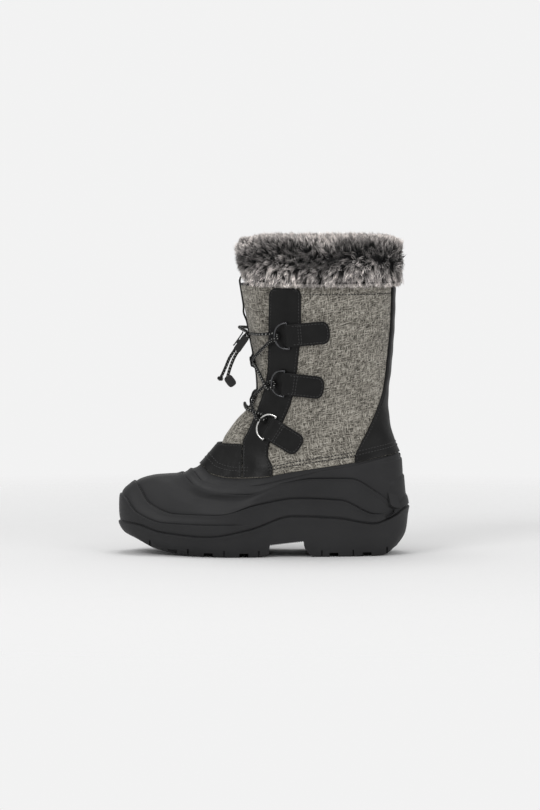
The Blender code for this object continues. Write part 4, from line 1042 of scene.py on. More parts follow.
def cap_faces(first, around, turned):
    """Faces across a loop, from its toe to its heel."""
    heel = first + around // 2
    faces = [(first, first + 1, first + around - 1), (heel - 1, heel, heel + 1)]
    for j in range(1, around // 2 - 1):
        faces.append((first + j, first + j + 1, first + around - j - 1, first + around - j))
    return [face[::-1] if turned else face for face in faces]


def make_shell(finish):
    """The moulded shell with its wave lines; the tread's grooves and the arch are cut from it."""
    turn = turns(SHELL_TURNS)
    levels = shell_levels()[:, None]
    skin = place(levels, turn, relief(levels, turn))
    seat = UPPER_WALL + SEAT_GAP
    rim = float(RIM_LEVEL)
    lowest = floor_level(turn)
    inside = [(rim + 0.004, 0.0004), (rim + 0.004, seat), (FLANGE_LEVEL, seat), (FLANGE_LEVEL, SHELL_WALL),
              (rim, SHELL_WALL)]
    inside += [(lowest + (rim - lowest) * share, SHELL_WALL) for share in (0.8, 0.6, 0.4, 0.2, 0.1, 0)]
    points = np.concatenate([skin, [place(level, turn, -depth) for level, depth in inside]])
    rows = len(points)
    faces = [tuple(face) for face in grid_faces(rows, SHELL_TURNS, True).tolist()]
    faces += cap_faces(0, SHELL_TURNS, False) + cap_faces((rows - 1) * SHELL_TURNS, SHELL_TURNS, True)
    arch = plate_mesh(arch_outline(), lambda u, w, across: (u, across, w), 2 * BALL_WIDTH)
    shell, *tools = [
        add_object(name, solid_mesh(name, *solid))
        for name, solid in (("shell_skin", (points.reshape(-1, 3), faces)), ("grooves", groove_boxes()),
                            ("arch", arch))
    ]
    for tool in tools:
        cut = shell.modifiers.new(tool.name, "BOOLEAN")
        cut.operation = "DIFFERENCE"
        cut.solver = "EXACT"
        cut.object = tool
    bpy.context.view_layer.update()
    mesh = bpy.data.meshes.new_from_object(shell.evaluated_get(bpy.context.evaluated_depsgraph_get()))
    mesh.name = "rubber_shell"
    mesh.materials.clear()
    mesh.materials.append(finish)
    mesh.shade_smooth()
    mesh.set_sharp_from_angle(angle=math.radians(SHARP_EDGE))
    for helper in (shell, *tools):
        bpy.data.objects.remove(helper)
    return as_piece(add_object("rubber_shell", mesh), ("shell",))


# Fabric

# Soft folds: two ends as x and z from the side, the depth (a ridge where it is
# positive), the half width and the side
Fold = namedtuple("Fold", "x z to_x to_z depth width side")
FOLDS = (
    Fold(0.040, 0.150, 0.088, 0.172, -0.0013, 0.008, 1),
    Fold(0.030, 0.128, 0.078, 0.136, -0.0010, 0.007, 1),
    Fold(0.046, 0.160, 0.090, 0.186, 0.0009, 0.008, 1),
    Fold(0.032, 0.206, 0.052, 0.244, -0.0007, 0.010, 1),
    Fold(0.066, 0.200, 0.094, 0.206, 0.0007, 0.010, 1),
    Fold(0.028, 0.112, 0.060, 0.108, 0.0008, 0.007, 1),
    Fold(0.038, 0.146, 0.090, 0.166, -0.0013, 0.008, -1),
    Fold(0.034, 0.126, 0.082, 0.130, -0.0009, 0.008, -1),
    Fold(0.040, 0.158, 0.088, 0.180, 0.0009, 0.009, -1),
    Fold(0.040, 0.214, 0.080, 0.226, 0.0006, 0.011, -1),
)
HEM_HEIGHT = 0.2500
HEM_WIDTH = 0.0007
HEM_DEPTH = 0.0005


def fold_height(points, turn):
    """How far the folds stand out or in at these points."""
    total = np.zeros(turn.shape)
    x, z = points[..., 0], points[..., 2]
    for fold in FOLDS:
        span = np.array([fold.to_x - fold.x, fold.to_z - fold.z])
        share = np.clip(((x - fold.x) * span[0] + (z - fold.z) * span[1]) / span.dot(span), 0, 1)
        away = np.hypot(x - fold.x - share * span[0], z - fold.z - share * span[1])
        fade = 0.35 + 0.65 * np.sin(math.pi * share)
        total += fold.depth * fade * bell(away, fold.width) * (np.sin(turn) * fold.side > 0)
    return total


def quarters(levels, edge_turn, columns):
    """Level and turn of a strip that starts and ends at the throat's edge and goes round the heel."""
    sweep = np.linspace(0, 2 * math.pi, columns)
    start = (1 - np.cos(edge_turn)) / 2
    share = start[:, None] + (1 - start[:, None]) * (1 - np.cos(sweep)) / 2
    turn = np.where(sweep <= math.pi, turn_of(share), -turn_of(share))
    return levels[:, None] + 0 * turn, turn


def sheet_points(outer, inner):
    """A closed sheet: the outer grid, its edge and the inner grid, as one mesh."""
    rows, columns = outer.shape[:2]
    count = rows * columns
    skin = grid_faces(rows, columns)
    rim = list(range(columns)) + [i * columns + columns - 1 for i in range(1, rows)]
    rim += [(rows - 1) * columns + j for j in range(columns - 2, -1, -1)]
    rim += [i * columns for i in range(rows - 2, 0, -1)]
    rim = np.array(rim)
    after = np.roll(rim, -1)
    edge = np.stack([after, rim, rim + count, after + count], -1)
    faces = np.concatenate([skin, skin[:, ::-1] + count, edge])
    uv = grid_uv(outer)
    inner_uv = uv.reshape(-1, 4, 2)[:, ::-1].reshape(-1, 2)
    corners = np.concatenate([uv, inner_uv, np.zeros((4 * len(rim), 2))])
    return np.concatenate([outer.reshape(-1, 3), inner.reshape(-1, 3)]), faces, corners


def make_upper(finish):
    """The shaft and quarters with the throat open, and the strip in front under the throat."""
    levels = np.linspace(BOTTOM_OF_UPPER, TOP_LEVEL, 110)
    edge = turn_on_edge(np.maximum(levels, THROAT_LEVEL), throat_edge)
    level, turn = quarters(levels, edge, 300)
    bare = bare_surface(level, turn)
    height = fold_height(bare, turn)
    height = height - HEM_DEPTH * bell(bare[..., 2] - HEM_HEIGHT, HEM_WIDTH)
    shaft = sheet_points(place(level, turn, height), place(level, turn, height - UPPER_WALL))
    low = np.linspace(BOTTOM_OF_UPPER, THROAT_LEVEL, 12)[:, None]
    across = np.linspace(-1, 1, 60) * turn_on_edge(THROAT_LEVEL, throat_edge)
    front = sheet_points(place(low, across), place(low, across, -UPPER_WALL))
    points, corners = (np.concatenate([shaft[k], front[k]]) for k in (0, 2))
    faces = np.concatenate([shaft[1], front[1] + len(shaft[0])])
    return mesh_piece("tweed_upper", points, faces, finish, "fabric", ("upper",), corners)


def make_tongue(finish, edging):
    """The tongue, tucked under the throat's edges and full between them, with a cord along its top."""
    levels = np.linspace(THROAT_LEVEL - TONGUE_TUCK, TOP_LEVEL, 90)
    tucked = -(UPPER_WALL + SEAT_GAP)
    free = turn_on_edge(levels, throat_edge)[:, None]
    edge = turn_on_edge(levels, lambda z: throat_edge(z) + TONGUE_MARGIN)[:, None]
    half = np.concatenate([free * np.linspace(0, 1.04, 30), edge], axis=1)
    turn = np.concatenate([-half[:, :0:-1], half], axis=1)
    fullness = smooth((0.95 - np.abs(turn) / free) / 0.23) * smooth((levels[:, None] - THROAT_OPEN) / 0.5)
    offset = tucked + (TONGUE_FACE - tucked) * fullness
    level = levels[:, None]
    inner = place(level, turn, offset - TONGUE_WALL)
    points, faces, corners = sheet_points(place(level, turn, offset), inner)
    mesh_piece("tweed_tongue", points, faces, finish, "fabric", ("tongue",), corners)
    top = place(TOP_LEVEL, turn[-1], offset[-1] - 0.3 * TONGUE_WALL)
    tube_piece("tongue_edging", curve_through(top[::3], 0.002), 0.0011, 8, edging, "leather")


# Overlays

EDGE_STEPS = (0, 0.00012, 0.0003, 0.0006, 0.0009, 0.0013)
EDGE_SINK = 0.0003
EDGE_ROUND = 0.0009
STITCH_INSET = 0.0022
STITCH_DIP = 0.00045
CORNER = 0.0065
STAY_TOP = 0.2560
EYESTAY_PUFF = 0.0009
EYESTAY_WRINKLE = 0.00012
COUNTER_WRINKLE = 0.00015
# Fine wrinkles of the leather, in turns a metre along z and x
WRINKLE_Z = 310
WRINKLE_X = 90


def strip_columns(length, count):
    """Stations across a strip from 0 to its length, crowded at its two edges."""
    edge = np.array(EDGE_STEPS)
    middle = np.linspace(EDGE_STEPS[-1], length - EDGE_STEPS[-1], count)[1:-1]
    return np.concatenate([edge, middle, (length - edge)[::-1]])


def overlay_profile(away, gap):
    """Height of an overlay's face at this distance from its nearest edge."""
    rise = np.sqrt(np.maximum(1 - (1 - np.clip(away / EDGE_ROUND, 0, 1)) ** 2, 0))
    dip = STITCH_DIP * bell(away - STITCH_INSET, 0.0007)
    return -EDGE_SINK + (gap + OVERLAY_WALL + EDGE_SINK) * rise - dip


def overlay_points(levels, start, end, gap, count, wrinkle, puff=0.0):
    """A leather skin between two turns on each level, with rounded edges and a stitch groove."""
    turn, height = [], []
    top = bare_surface(levels[-1], (start[-1] + end[-1]) / 2)
    for level, first, last in zip(levels, start, end):
        sweep = np.linspace(first, last, 160)
        run = run_along(bare_surface(level, sweep))
        stations = strip_columns(run[-1], count)
        turn.append(np.interp(stations, run, sweep))
        from_top = np.linalg.norm(top - bare_surface(level, (first + last) / 2))
        away = np.minimum(np.minimum(stations, run[-1] - stations), from_top)
        height.append(overlay_profile(away, gap) + puff * np.sin(math.pi * stations / run[-1]) ** 2)
    level, turn, height = levels[:, None], np.array(turn), np.array(height)
    x, _y, z = np.moveaxis(bare_surface(level, turn), -1, 0)
    waves = np.sin(z * WRINKLE_Z + 2.0 * np.sin(x * WRINKLE_X))
    return place(level, turn, height + wrinkle * waves * np.clip(height / gap, 0, 1))


def edge_levels(count, top_level=TOP_LEVEL):
    """Levels of an overlay, crowded at its foot and its top."""
    fine = BOTTOM_OF_UPPER + np.array([0, 0.01, 0.02, 0.04])
    top = top_level - np.array([0.06, 0.035, 0.018, 0.009, 0.004, 0])
    return np.concatenate([fine, np.linspace(BOTTOM_OF_UPPER + 0.06, top_level - 0.08, count), top])


def rounded(edge, sign):
    """The eyestay's edge with its top corner rounded off."""
    def at(z):
        into = np.clip((np.asarray(z) - (STAY_TOP - CORNER)) / CORNER, 0, 1)
        return edge(z) + sign * CORNER * (1 - np.sqrt(1 - into ** 2))
    return at


def make_eyestay(word, side, finish):
    levels = edge_levels(120, float(level_at(1.1, STAY_TOP)))
    front = turn_on_edge(levels, rounded(eyestay_front, 1)) * side
    back = turn_on_edge(levels, rounded(eyestay_back, -1)) * side
    points = overlay_points(levels, front, back, EYESTAY_GAP, 34, EYESTAY_WRINKLE, EYESTAY_PUFF)
    if side < 0:
        points = points[:, ::-1]
    return grid_piece(f"leather_eyestay_{word}", points, finish, "leather", (f"eyestay_{word}",))


def make_counter(finish):
    levels = edge_levels(120)
    half = math.pi - turn_on_edge(levels, counter_front)
    points = overlay_points(levels, math.pi - half, math.pi + half, COUNTER_GAP, 70, COUNTER_WRINKLE)
    return grid_piece("leather_counter", points, finish, "leather", ("heel_counter",))


def vamp_grid():
    """Level and turn over the instep between the two seams, and how far each is from the top edge."""
    across = np.linspace(-1, 1, 120)
    reach = np.full(len(across), 0.8)
    for _ in range(6):
        top = level_at(np.abs(across) * reach, VAMP_TOP * SHAFT_HEIGHT, RIM_LEVEL)
        reach = turn_on_edge(top, seam_edge)
    share = np.concatenate([np.linspace(0, 0.93, 40), [0.945, 0.96, 0.972, 0.982, 0.99, 0.996, 1]])[:, None]
    levels = BOTTOM_OF_UPPER + (top - BOTTOM_OF_UPPER) * share
    turn = turn_on_edge(levels, seam_edge) * across
    bare = bare_surface(levels, turn)
    return levels, turn, np.linalg.norm(bare - bare[-1:], axis=-1)


def make_vamp(finish):
    levels, turn, away = vamp_grid()
    points = place(levels, turn, overlay_profile(away, VAMP_GAP))
    return grid_piece("leather_vamp", points, finish, "leather", ("vamp",))


# Stitching

STITCH_PITCH = 0.0031
STITCH_LENGTH = 0.0024
STITCH_RADIUS = 0.00052
STITCH_SIDES = 6
# A stitch along its length: place, thickness and how deep it sinks at its ends
STITCH_AT = np.array([-0.5, -0.42, 0, 0.42, 0.5])
STITCH_THICK = np.array([0.35, 0.85, 1, 0.85, 0.35])
STITCH_SINK = np.array([-1.1, -0.5, 0, -0.5, -1.1])
STITCH_STEP = 0.0005


def at_distance(spots, run, values):
    return np.stack([np.interp(spots, run, values[:, k]) for k in range(3)], -1)


def stitched(lines):
    """Points and faces of the stitches along lines of (points, normals)."""
    ring = turns(STITCH_SIDES)[:, None]
    length = (STITCH_AT * STITCH_LENGTH)[:, None, None]
    thick = (STITCH_THICK * STITCH_RADIUS)[:, None, None]
    sink = (STITCH_SINK * STITCH_RADIUS)[:, None, None]
    each = len(STITCH_AT) * STITCH_SIDES
    last = each - STITCH_SIDES
    caps = [[0, 1, 2, 3], [3, 4, 5, 0]]
    ends = [quad[::-1] for quad in caps] + [[last + k for k in quad] for quad in caps]
    pattern = np.concatenate([grid_faces(len(STITCH_AT), STITCH_SIDES, True), ends])
    stitches = []
    for points, normals in lines:
        run = run_along(points)
        spots = np.arange(STITCH_PITCH / 2, run[-1], STITCH_PITCH)
        ahead = at_distance(spots + STITCH_STEP, run, points) - at_distance(spots - STITCH_STEP, run, points)
        middle, ahead, out = (
            part[:, None, None]
            for part in (at_distance(spots, run, points), unit(ahead), unit(at_distance(spots, run, normals)))
        )
        made = middle + ahead * length + out * (sink + thick * np.sin(ring))
        made = made + np.cross(out, ahead) * (thick * np.cos(ring))
        stitches.append(made.reshape(-1, 3))
    points = np.concatenate(stitches)
    starts = np.arange(0, len(points), each)[:, None, None]
    return points, (pattern + starts).reshape(-1, 4)


def surface_line(level, turn, height):
    return place(level, turn, height + 0 * turn), outward(level, turn)


RIM_ROWS = (0.0066, 0.0099)
COUNTER_FACE = COUNTER_GAP + OVERLAY_WALL
VAMP_FACE = VAMP_GAP + OVERLAY_WALL
TWEED_SINK = 0.0002
# How far inside the eyestay's edges the row across its top ends
CORNER_ROW = 0.0048
SEAM_TOP = 9.75


def rim_line(up):
    """A row round the boot at this height over the shell's rim, over what it meets."""
    turn = np.linspace(0.0, 2 * math.pi, 500)
    z = section(RIM_LEVEL, turn)[4] + up
    level = level_at(turn, z, RIM_LEVEL - 0.5)
    x = bare_surface(level, turn)[:, 0]
    height = np.where(x < eyestay_back(z), OVERLAY_TOP, TWEED_SINK)
    return surface_line(level, turn, np.where(x > counter_front(z), COUNTER_FACE, height))


def edge_line(side, edge, inset, low, high, height):
    """A row beside an overlay's edge, from one level to another."""
    levels = np.linspace(low, high, 220)
    turn = turn_on_edge(levels, lambda z: edge(z) + inset) * side
    return surface_line(levels, turn, height)


def corner_line(side):
    """The stitches across the eyestay's top, from its front row round to its back row."""
    z = STAY_TOP - STITCH_INSET
    x = np.linspace(float(eyestay_front(z)) + CORNER_ROW, float(eyestay_back(z)) - CORNER_ROW, 24)
    level, turn = locate(x, z)
    return surface_line(level, turn * side, OVERLAY_TOP - STITCH_DIP)


def make_stitches(finish):
    """The rows on the overlays, and the hem under the fur where no overlay covers it."""
    face = OVERLAY_TOP - STITCH_DIP
    low, high = BOTTOM_OF_UPPER + 0.12, TOP_LEVEL - 0.09
    rows = (
        (rounded(eyestay_front, 1), STITCH_INSET, low, high, face),
        (rounded(eyestay_back, -1), -STITCH_INSET, low, high, face),
        (eyestay_back, -2.4 * STITCH_INSET, low, high, face),
        (counter_front, STITCH_INSET, low, TOP_LEVEL - 0.05, COUNTER_FACE - STITCH_DIP),
        (seam_edge, -STITCH_INSET, BOTTOM_OF_UPPER + 0.05, SEAM_TOP, VAMP_FACE),
    )
    lines = [rim_line(up) for up in RIM_ROWS]
    for side in (1, -1):
        lines += [edge_line(side, *row) for row in rows] + [corner_line(side)]
    levels, turn, away = vamp_grid()
    row = np.argmin(np.abs(away - STITCH_INSET), axis=0)
    columns = np.arange(levels.shape[1])
    lines.append(surface_line(levels[row, columns], turn[row, columns], VAMP_FACE - STITCH_DIP))
    mesh_piece("overlay_stitches", *stitched(lines), finish, "leather")
    turn = np.linspace(0.5, 2 * math.pi - 0.5, 500)
    level = level_at(turn, HEM_HEIGHT)
    x = bare_surface(level, turn)[:, 0]
    clear = (x > eyestay_back(HEM_HEIGHT)) & (x < counter_front(HEM_HEIGHT))
    sides = (clear & (turn < math.pi), clear & (turn > math.pi))
    hems = [surface_line(level[pick], turn[pick], -TWEED_SINK) for pick in sides]
    mesh_piece("hem_stitches", *stitched(hems), finish, "fabric")


# Ring tabs and rings

TAB_FOLD = WIRE / 2 + FIT_GAP + TAB_SHEET / 2
# Shares of a tab's length: where it drops off the eyestay, how long the drop is, and where its layers
# have closed
DROP_AT = 0.30
DROP_LONG = 0.17
CLOSED_AT = 0.2
TAB_ROW = 0.0020
# How square the tab's end and the stitches round it are
TAB_SQUARE = 2.6
ROW_SQUARE = 0.77
RING_SPACING = 0.0008
RING_SIDES = 14


def strap_heights(a, length):
    """Heights of the strap's lower and upper layer, a behind the bar."""
    on_overlay = OVERLAY_TOP + FIT_GAP + TAB_SHEET / 2
    on_quarter = TAB_GAP + TAB_SHEET / 2
    low = on_overlay + (on_quarter - on_overlay) * smooth((a - DROP_AT * length) / (DROP_LONG * length))
    closing = (TAB_SHEET + FIT_GAP - 2 * TAB_FOLD) * smooth(a / (CLOSED_AT * length))
    return low, low + 2 * TAB_FOLD + closing


def tab_path(length):
    """The folded strap seen from its edge: a backward and n out."""
    stations = np.concatenate([np.linspace(0, length - TAB_CORNER, 34),
                               length - TAB_CORNER * np.linspace(0.94, 0.0, 26) ** 1.4])
    low, high = strap_heights(stations, length)
    path = list(zip(stations[::-1], high[::-1]))
    for t in np.linspace(1.35, -1.35, 13):
        path.append((-TAB_FOLD * math.cos(t), BAR_HEIGHT + TAB_FOLD * math.sin(t)))
    return np.array(path + list(zip(stations, low)))


def tab_half(a, length):
    """Half the tab's width, rounded off at its end."""
    past = np.clip((a - (length - TAB_CORNER)) / TAB_CORNER, 0, 0.995)
    return TAB_WIDTH / 2 * (1 - past ** TAB_SQUARE) ** (1 / TAB_SQUARE)


def make_tab(word, k, frame, length, finish):
    """The strap folded round its ring's bar, with thin edges and a dip where its stitches lie."""
    path = tab_path(length)
    ahead = unit(np.gradient(path, axis=0))
    normal = np.stack([ahead[:, 1], -ahead[:, 0]], axis=1)
    half = tab_half(path[:, 0], length)[:, None]
    inset = np.array([0, 0.0002, 0.0005, 0.0009, 0.0015, 0.0022, 0.003])
    inner = np.linspace(0, 1, 16)[1:]
    left = -half + np.minimum(inset, half)
    middle = left[:, -1:] * (1 - 2 * inner[:-1])
    b = np.concatenate([left, middle, -left[:, ::-1]], axis=1)
    away = np.minimum(half - np.abs(b), np.maximum(length - path[:, :1], 0) + 0 * b)
    edge = np.clip(away / 0.0009, 0, 1)
    thin = TAB_SHEET / 2 * (1 - np.sqrt(np.maximum(1 - (1 - edge) ** 2, 0)))
    dip = 0.0003 * bell(away - TAB_ROW, 0.0006)
    upper_layer = (path[:, 1:] > BAR_HEIGHT - 0.0004) | (path[:, :1] < 0)
    layers = []
    for sign in (1, -1):
        push = sign * (TAB_SHEET / 2 - thin - dip * (upper_layer if sign == -1 else ~upper_layer))
        a = path[:, :1] + normal[:, :1] * push
        n = path[:, 1:] + normal[:, 1:] * push
        layers.append(frame.folded(a, b, n, DROP_AT * length))
    points, faces, corners = sheet_points(*layers)
    replaced = (f"ring_tab_{word}_{k + 1}",)
    return mesh_piece(f"tab_{word}_{k + 1}", points, faces, finish, "leather", replaced, corners)


def tab_lines(frame, length):
    """Edge stitching of a tab and the two rows that hold its fold shut."""
    face = TAB_SHEET / 2 + 0.0001
    turn = np.linspace(-math.pi / 2, math.pi / 2, 60)
    bow_a = length - TAB_CORNER + (TAB_CORNER - TAB_ROW) * np.cos(turn) ** ROW_SQUARE
    bow_b = (TAB_WIDTH / 2 - TAB_ROW) * np.sign(np.sin(turn)) * np.abs(np.sin(turn)) ** ROW_SQUARE
    straight = np.linspace(0.12 * length, length - TAB_CORNER, 40)
    a = np.concatenate([straight, bow_a, straight[::-1]])
    b = np.concatenate([0 * straight + bow_b[0], bow_b, 0 * straight + bow_b[-1]])
    lines = []
    cross = np.linspace(-TAB_WIDTH / 2 + TAB_ROW, TAB_WIDTH / 2 - TAB_ROW, 30)
    for line_a, line_b in ((a, b), (0 * cross + 0.245 * length, cross), (0 * cross + 0.30 * length, cross)):
        _low, high = strap_heights(line_a, length)
        points = frame.folded(line_a, line_b, high + face, DROP_AT * length)
        lines.append((points, np.repeat(frame.n[None], len(points), axis=0)))
    return lines


def make_fittings(leather, metals, thread):
    """Tabs, rings and the tabs' stitches. All rings are nickel; the upper two on each side have a painted
    dark reflection in their base colour.
    """
    for word, side in SIDES:
        lines = []
        for k, flat in enumerate(ring_frames(side)):
            length = RINGS[k].length * TAB_LENGTH
            make_tab(word, k, flat, length, leather)
            lines += tab_lines(flat, length)
            # The upper two rings are nickel like the lowest; their darker base colour is a painted dark
            # reflection
            metal = "nickel" if k == len(RINGS) - 1 else "gunmetal"
            path = curve_through(ring_path(flat), RING_SPACING, closed=True)
            tube_piece(f"ring_{word}_{k + 1}", path, WIRE / 2, RING_SIDES, metals[metal], metal,
                       (f"d_ring_{word}_{k + 1}",), closed=True)
        mesh_piece(f"tab_stitches_{word}", *stitched(lines), thread, "leather")


# Webbing and cords

WEB_BOW = 0.0009


def make_webbing(finish):
    """The strip down the tongue with its two keepers, and the pull loop."""
    path = []
    for height, off in WEB_ROUTE:
        level = level_at(0.0, height * SHAFT_HEIGHT)
        path.append(place(level, 0.0, TONGUE_FACE + WEB_THICKNESS / 2 + off))
    top = place(TOP_LEVEL, 0.0, TONGUE_FACE + WEB_THICKNESS / 2)
    path += [top + np.array([x, 0, z]) for x, z in LOOP_ROUTE]
    path = curve_through(path, 0.0015)
    ahead = unit(np.gradient(path, axis=0))
    out = np.stack([-ahead[:, 2], 0 * ahead[:, 0], ahead[:, 0]], -1)
    across = np.array([-1, -0.94, -0.8, -0.4, 0, 0.4, 0.8, 0.94, 1])
    thick = WEB_THICKNESS / 2 * np.sqrt(1 - 0.75 * np.abs(across) ** 6)
    reach = np.stack([0 * across, across * WEB_WIDTH / 2, 0 * across], -1)
    bow = WEB_BOW * across ** 2
    outer = path[:, None] + out[:, None] * (thick - bow)[None, :, None] + reach[None]
    inner = path[:, None] - out[:, None] * (thick + bow)[None, :, None] + reach[None]
    points, faces, corners = sheet_points(outer, inner)
    return mesh_piece("tongue_webbing_strip", points, faces, finish, "cord", ("tongue_webbing",), corners)


CORD_SIDES = 12


def make_cords(finish, plastic):
    """The lace, and each free cord as one piece: its lead, its way through the lock and its tail."""
    lace = lace_route()
    tube_piece("lace_cord", curve_through(lace, 0.0013), CORD / 2, CORD_SIDES, finish, "cord", ("lace",))
    lock, end = Plate(LOCK_TOP, LOCK_FOOT), Plate(END_TOP, END_FOOT)
    beside = (CORD + FIT_GAP) / 2
    knot = np.array(KNOT_AT)
    knot_top = knot + unit(np.array(TAIL_MEDIAL[-1]) - knot) * KNOT / 4
    lock_piece = make_lock(lock, plastic)
    end_piece = make_end(end, plastic)
    knot_piece = make_knot(finish)
    for word, lead, tail, lace_end, before, w, last, far_end, with_pieces in (
        ("lateral", LEAD_LATERAL, TAIL_LATERAL, lace[0], lace[1], beside, end.point(END_SEAT, 0),
         "fitting", (lock_piece, end_piece)),
        ("medial", LEAD_MEDIAL, TAIL_MEDIAL, lace[-1], lace[-2], -beside, knot_top, "knot", (knot_piece,)),
    ):
        ahead = unit(lace_end - before)
        route = [lace_end + ahead * SEAT_GAP, lace_end + ahead * CORD / 2, *lead]
        route += [lock.point(-1.3 * CORD, w), lock.point(-FIT_GAP, w), lock.point(LOCK_LENGTH / 2, w)]
        route += [lock.point(LOCK_LENGTH + FIT_GAP, w), *tail, last]
        path = curve_through(route, 0.0015)
        replaced = (f"lead_{word}", f"tail_{word}")
        piece = tube_piece(f"cord_{word}", path, CORD / 2, CORD_SIDES, finish, "cord", replaced)


def plastic_piece(name, outline, place_point, depth, width, finish, replaces):
    """A plate with bevelled edges."""
    mesh = solid_mesh(name, *plate_mesh(outline, place_point, depth))
    mesh.materials.append(finish)
    mesh.shade_smooth()
    made = add_object(name, mesh)
    bevel = made.modifiers.new("edges", "BEVEL")
    bevel.width = width
    bevel.segments = 3
    bevel.limit_method = "ANGLE"
    bevel.angle_limit = math.radians(35)
    bevel.harden_normals = True
    return as_piece(made, replaces)


def make_lock(lock, finish):
    outline = [(u * LOCK_LENGTH, w * LOCK_WIDTH) for u, w in LOCK_OUTLINE]
    return plastic_piece("squeeze_lock", outline, lock.point, LOCK_SIDE, 0.0004, finish, ("cord_lock",))


def make_end(end, finish):
    outline = []
    for angle in turns(40):
        u, w = math.cos(angle), math.sin(angle)
        outline.append((END_LENGTH / 2 * (1 + math.copysign(abs(u) ** END_ROUND, u)),
                        END_WIDTH / 2 * math.copysign(abs(w) ** END_ROUND, w)))
    return plastic_piece("cord_end_tab", outline, end.point, END_THICKNESS, 0.0009, finish, ("cord_end",))


def make_knot(finish):
    """An overhand knot drawn tight: a trefoil of cord."""
    angle = np.linspace(0, 2 * math.pi, 60, endpoint=False)
    size = 0.155 * KNOT
    ring = np.stack([np.sin(angle) + 2 * np.sin(2 * angle), np.cos(angle) - 2 * np.cos(2 * angle),
                     -1.3 * np.sin(3 * angle)], -1)
    path = np.array(KNOT_AT) + ring * size * 0.62
    return tube_piece("cord_knot_loops", path, 0.3 * KNOT, 10, finish, "cord", ("cord_knot",), closed=True)


# Fur

FUR_SEED = 23
FUR_SINK = 0.0035
LOCKS = 5700
STRANDS = 10
STRAND_POINTS = 5
STRAND_LENGTH = 0.0165
FUR_STANDS = 0.0030
STRAND_WIDTH = 0.0002
STRAND_TAPER = (0.9, 1.0, 0.9, 0.65)
STRAND_ARCH = 0.0016
FUR_PIECES = 3
# Locks stay shorter within this reach of the collar's toe end, and by this share at its heel end
FUR_CORNER = 0.012
HEEL_END = 0.6
FUR_ROUNDED = 0.0085
# How uneven the fur ends at its top and foot, and the least length and upward share that count there
FUR_EDGE = 0.0002
UNEVEN_TOP = 0.0034
UNEVEN_FOOT = 0.0016
LEAST_LENGTH = 0.002
LEAST_SPEED = 0.05
# Surfaces that face down more than this carry this share of the locks
UNDERSIDE = -0.55
UNDERSIDE_SHARE = 0.35
# A lock's aim: outward, scattered, toward the toe, and up or down about the middle height
OUT_SHARE = 0.62
SCATTER = 0.30
RISE_SCATTER = 0.25
FORWARD = 0.30
FALL = 1.15
FALL_HEIGHT = 0.48
FALL_TURN = 3.2
LEAST_STAND = 0.16
LOCK_SPREAD = 0.0011
TIP_SPREAD = 0.00055
GATHER = 0.72
PARTING_HEIGHT = 0.56
PARTING_WIDTH = 0.17
PARTING_DARK = 0.78
ROOT_SHADE = 0.006
TIP_SHADE = (0.98, 0.915, 0.88)


def fur_body(turn_count, sink):
    """Points of the fur's section, smoothed, at evenly spread turns."""
    turn = turns(turn_count)
    top = bare_surface(TOP_LEVEL, turn)
    out = outward(TOP_LEVEL, turn)
    out[:, 2] = 0
    out = unit(out)
    front = bell(np.minimum(turn, 2 * math.pi - turn), 0.55)
    loops = []
    for point in FUR_SECTION:
        reach = point.out * (FUR_OVERHANG if point.out > 0 else FUR_DEPTH)
        shy = 1.1 * FUR_OVERHANG * front * (1.3 - point.height)
        lift = 0.24 * FUR_HEIGHT * front * (1 - point.height) ** 2
        ring = top + out * (reach - shy)[:, None]
        ring[:, 2] += point.height * FUR_HEIGHT + lift + FIT_GAP
        loops.append(ring)
    loops = np.array(loops)
    share = np.linspace(0, len(loops), 78, endpoint=False)
    i = share.astype(int)
    body = spline(*(loops[(i + k) % len(loops)] for k in (-1, 0, 1, 2)), (share - i)[:, None, None])
    round_about = np.roll(body, -1, axis=1) - np.roll(body, 1, axis=1)
    over = np.roll(body, -1, axis=0) - np.roll(body, 1, axis=0)
    normal = np.cross(over, round_about)
    area = np.linalg.norm(normal, axis=-1)
    normal /= area[..., None]
    middle = body.mean(axis=0)
    if ((body - middle) * normal).sum() < 0:
        normal = -normal
    return body - normal * sink, normal, area


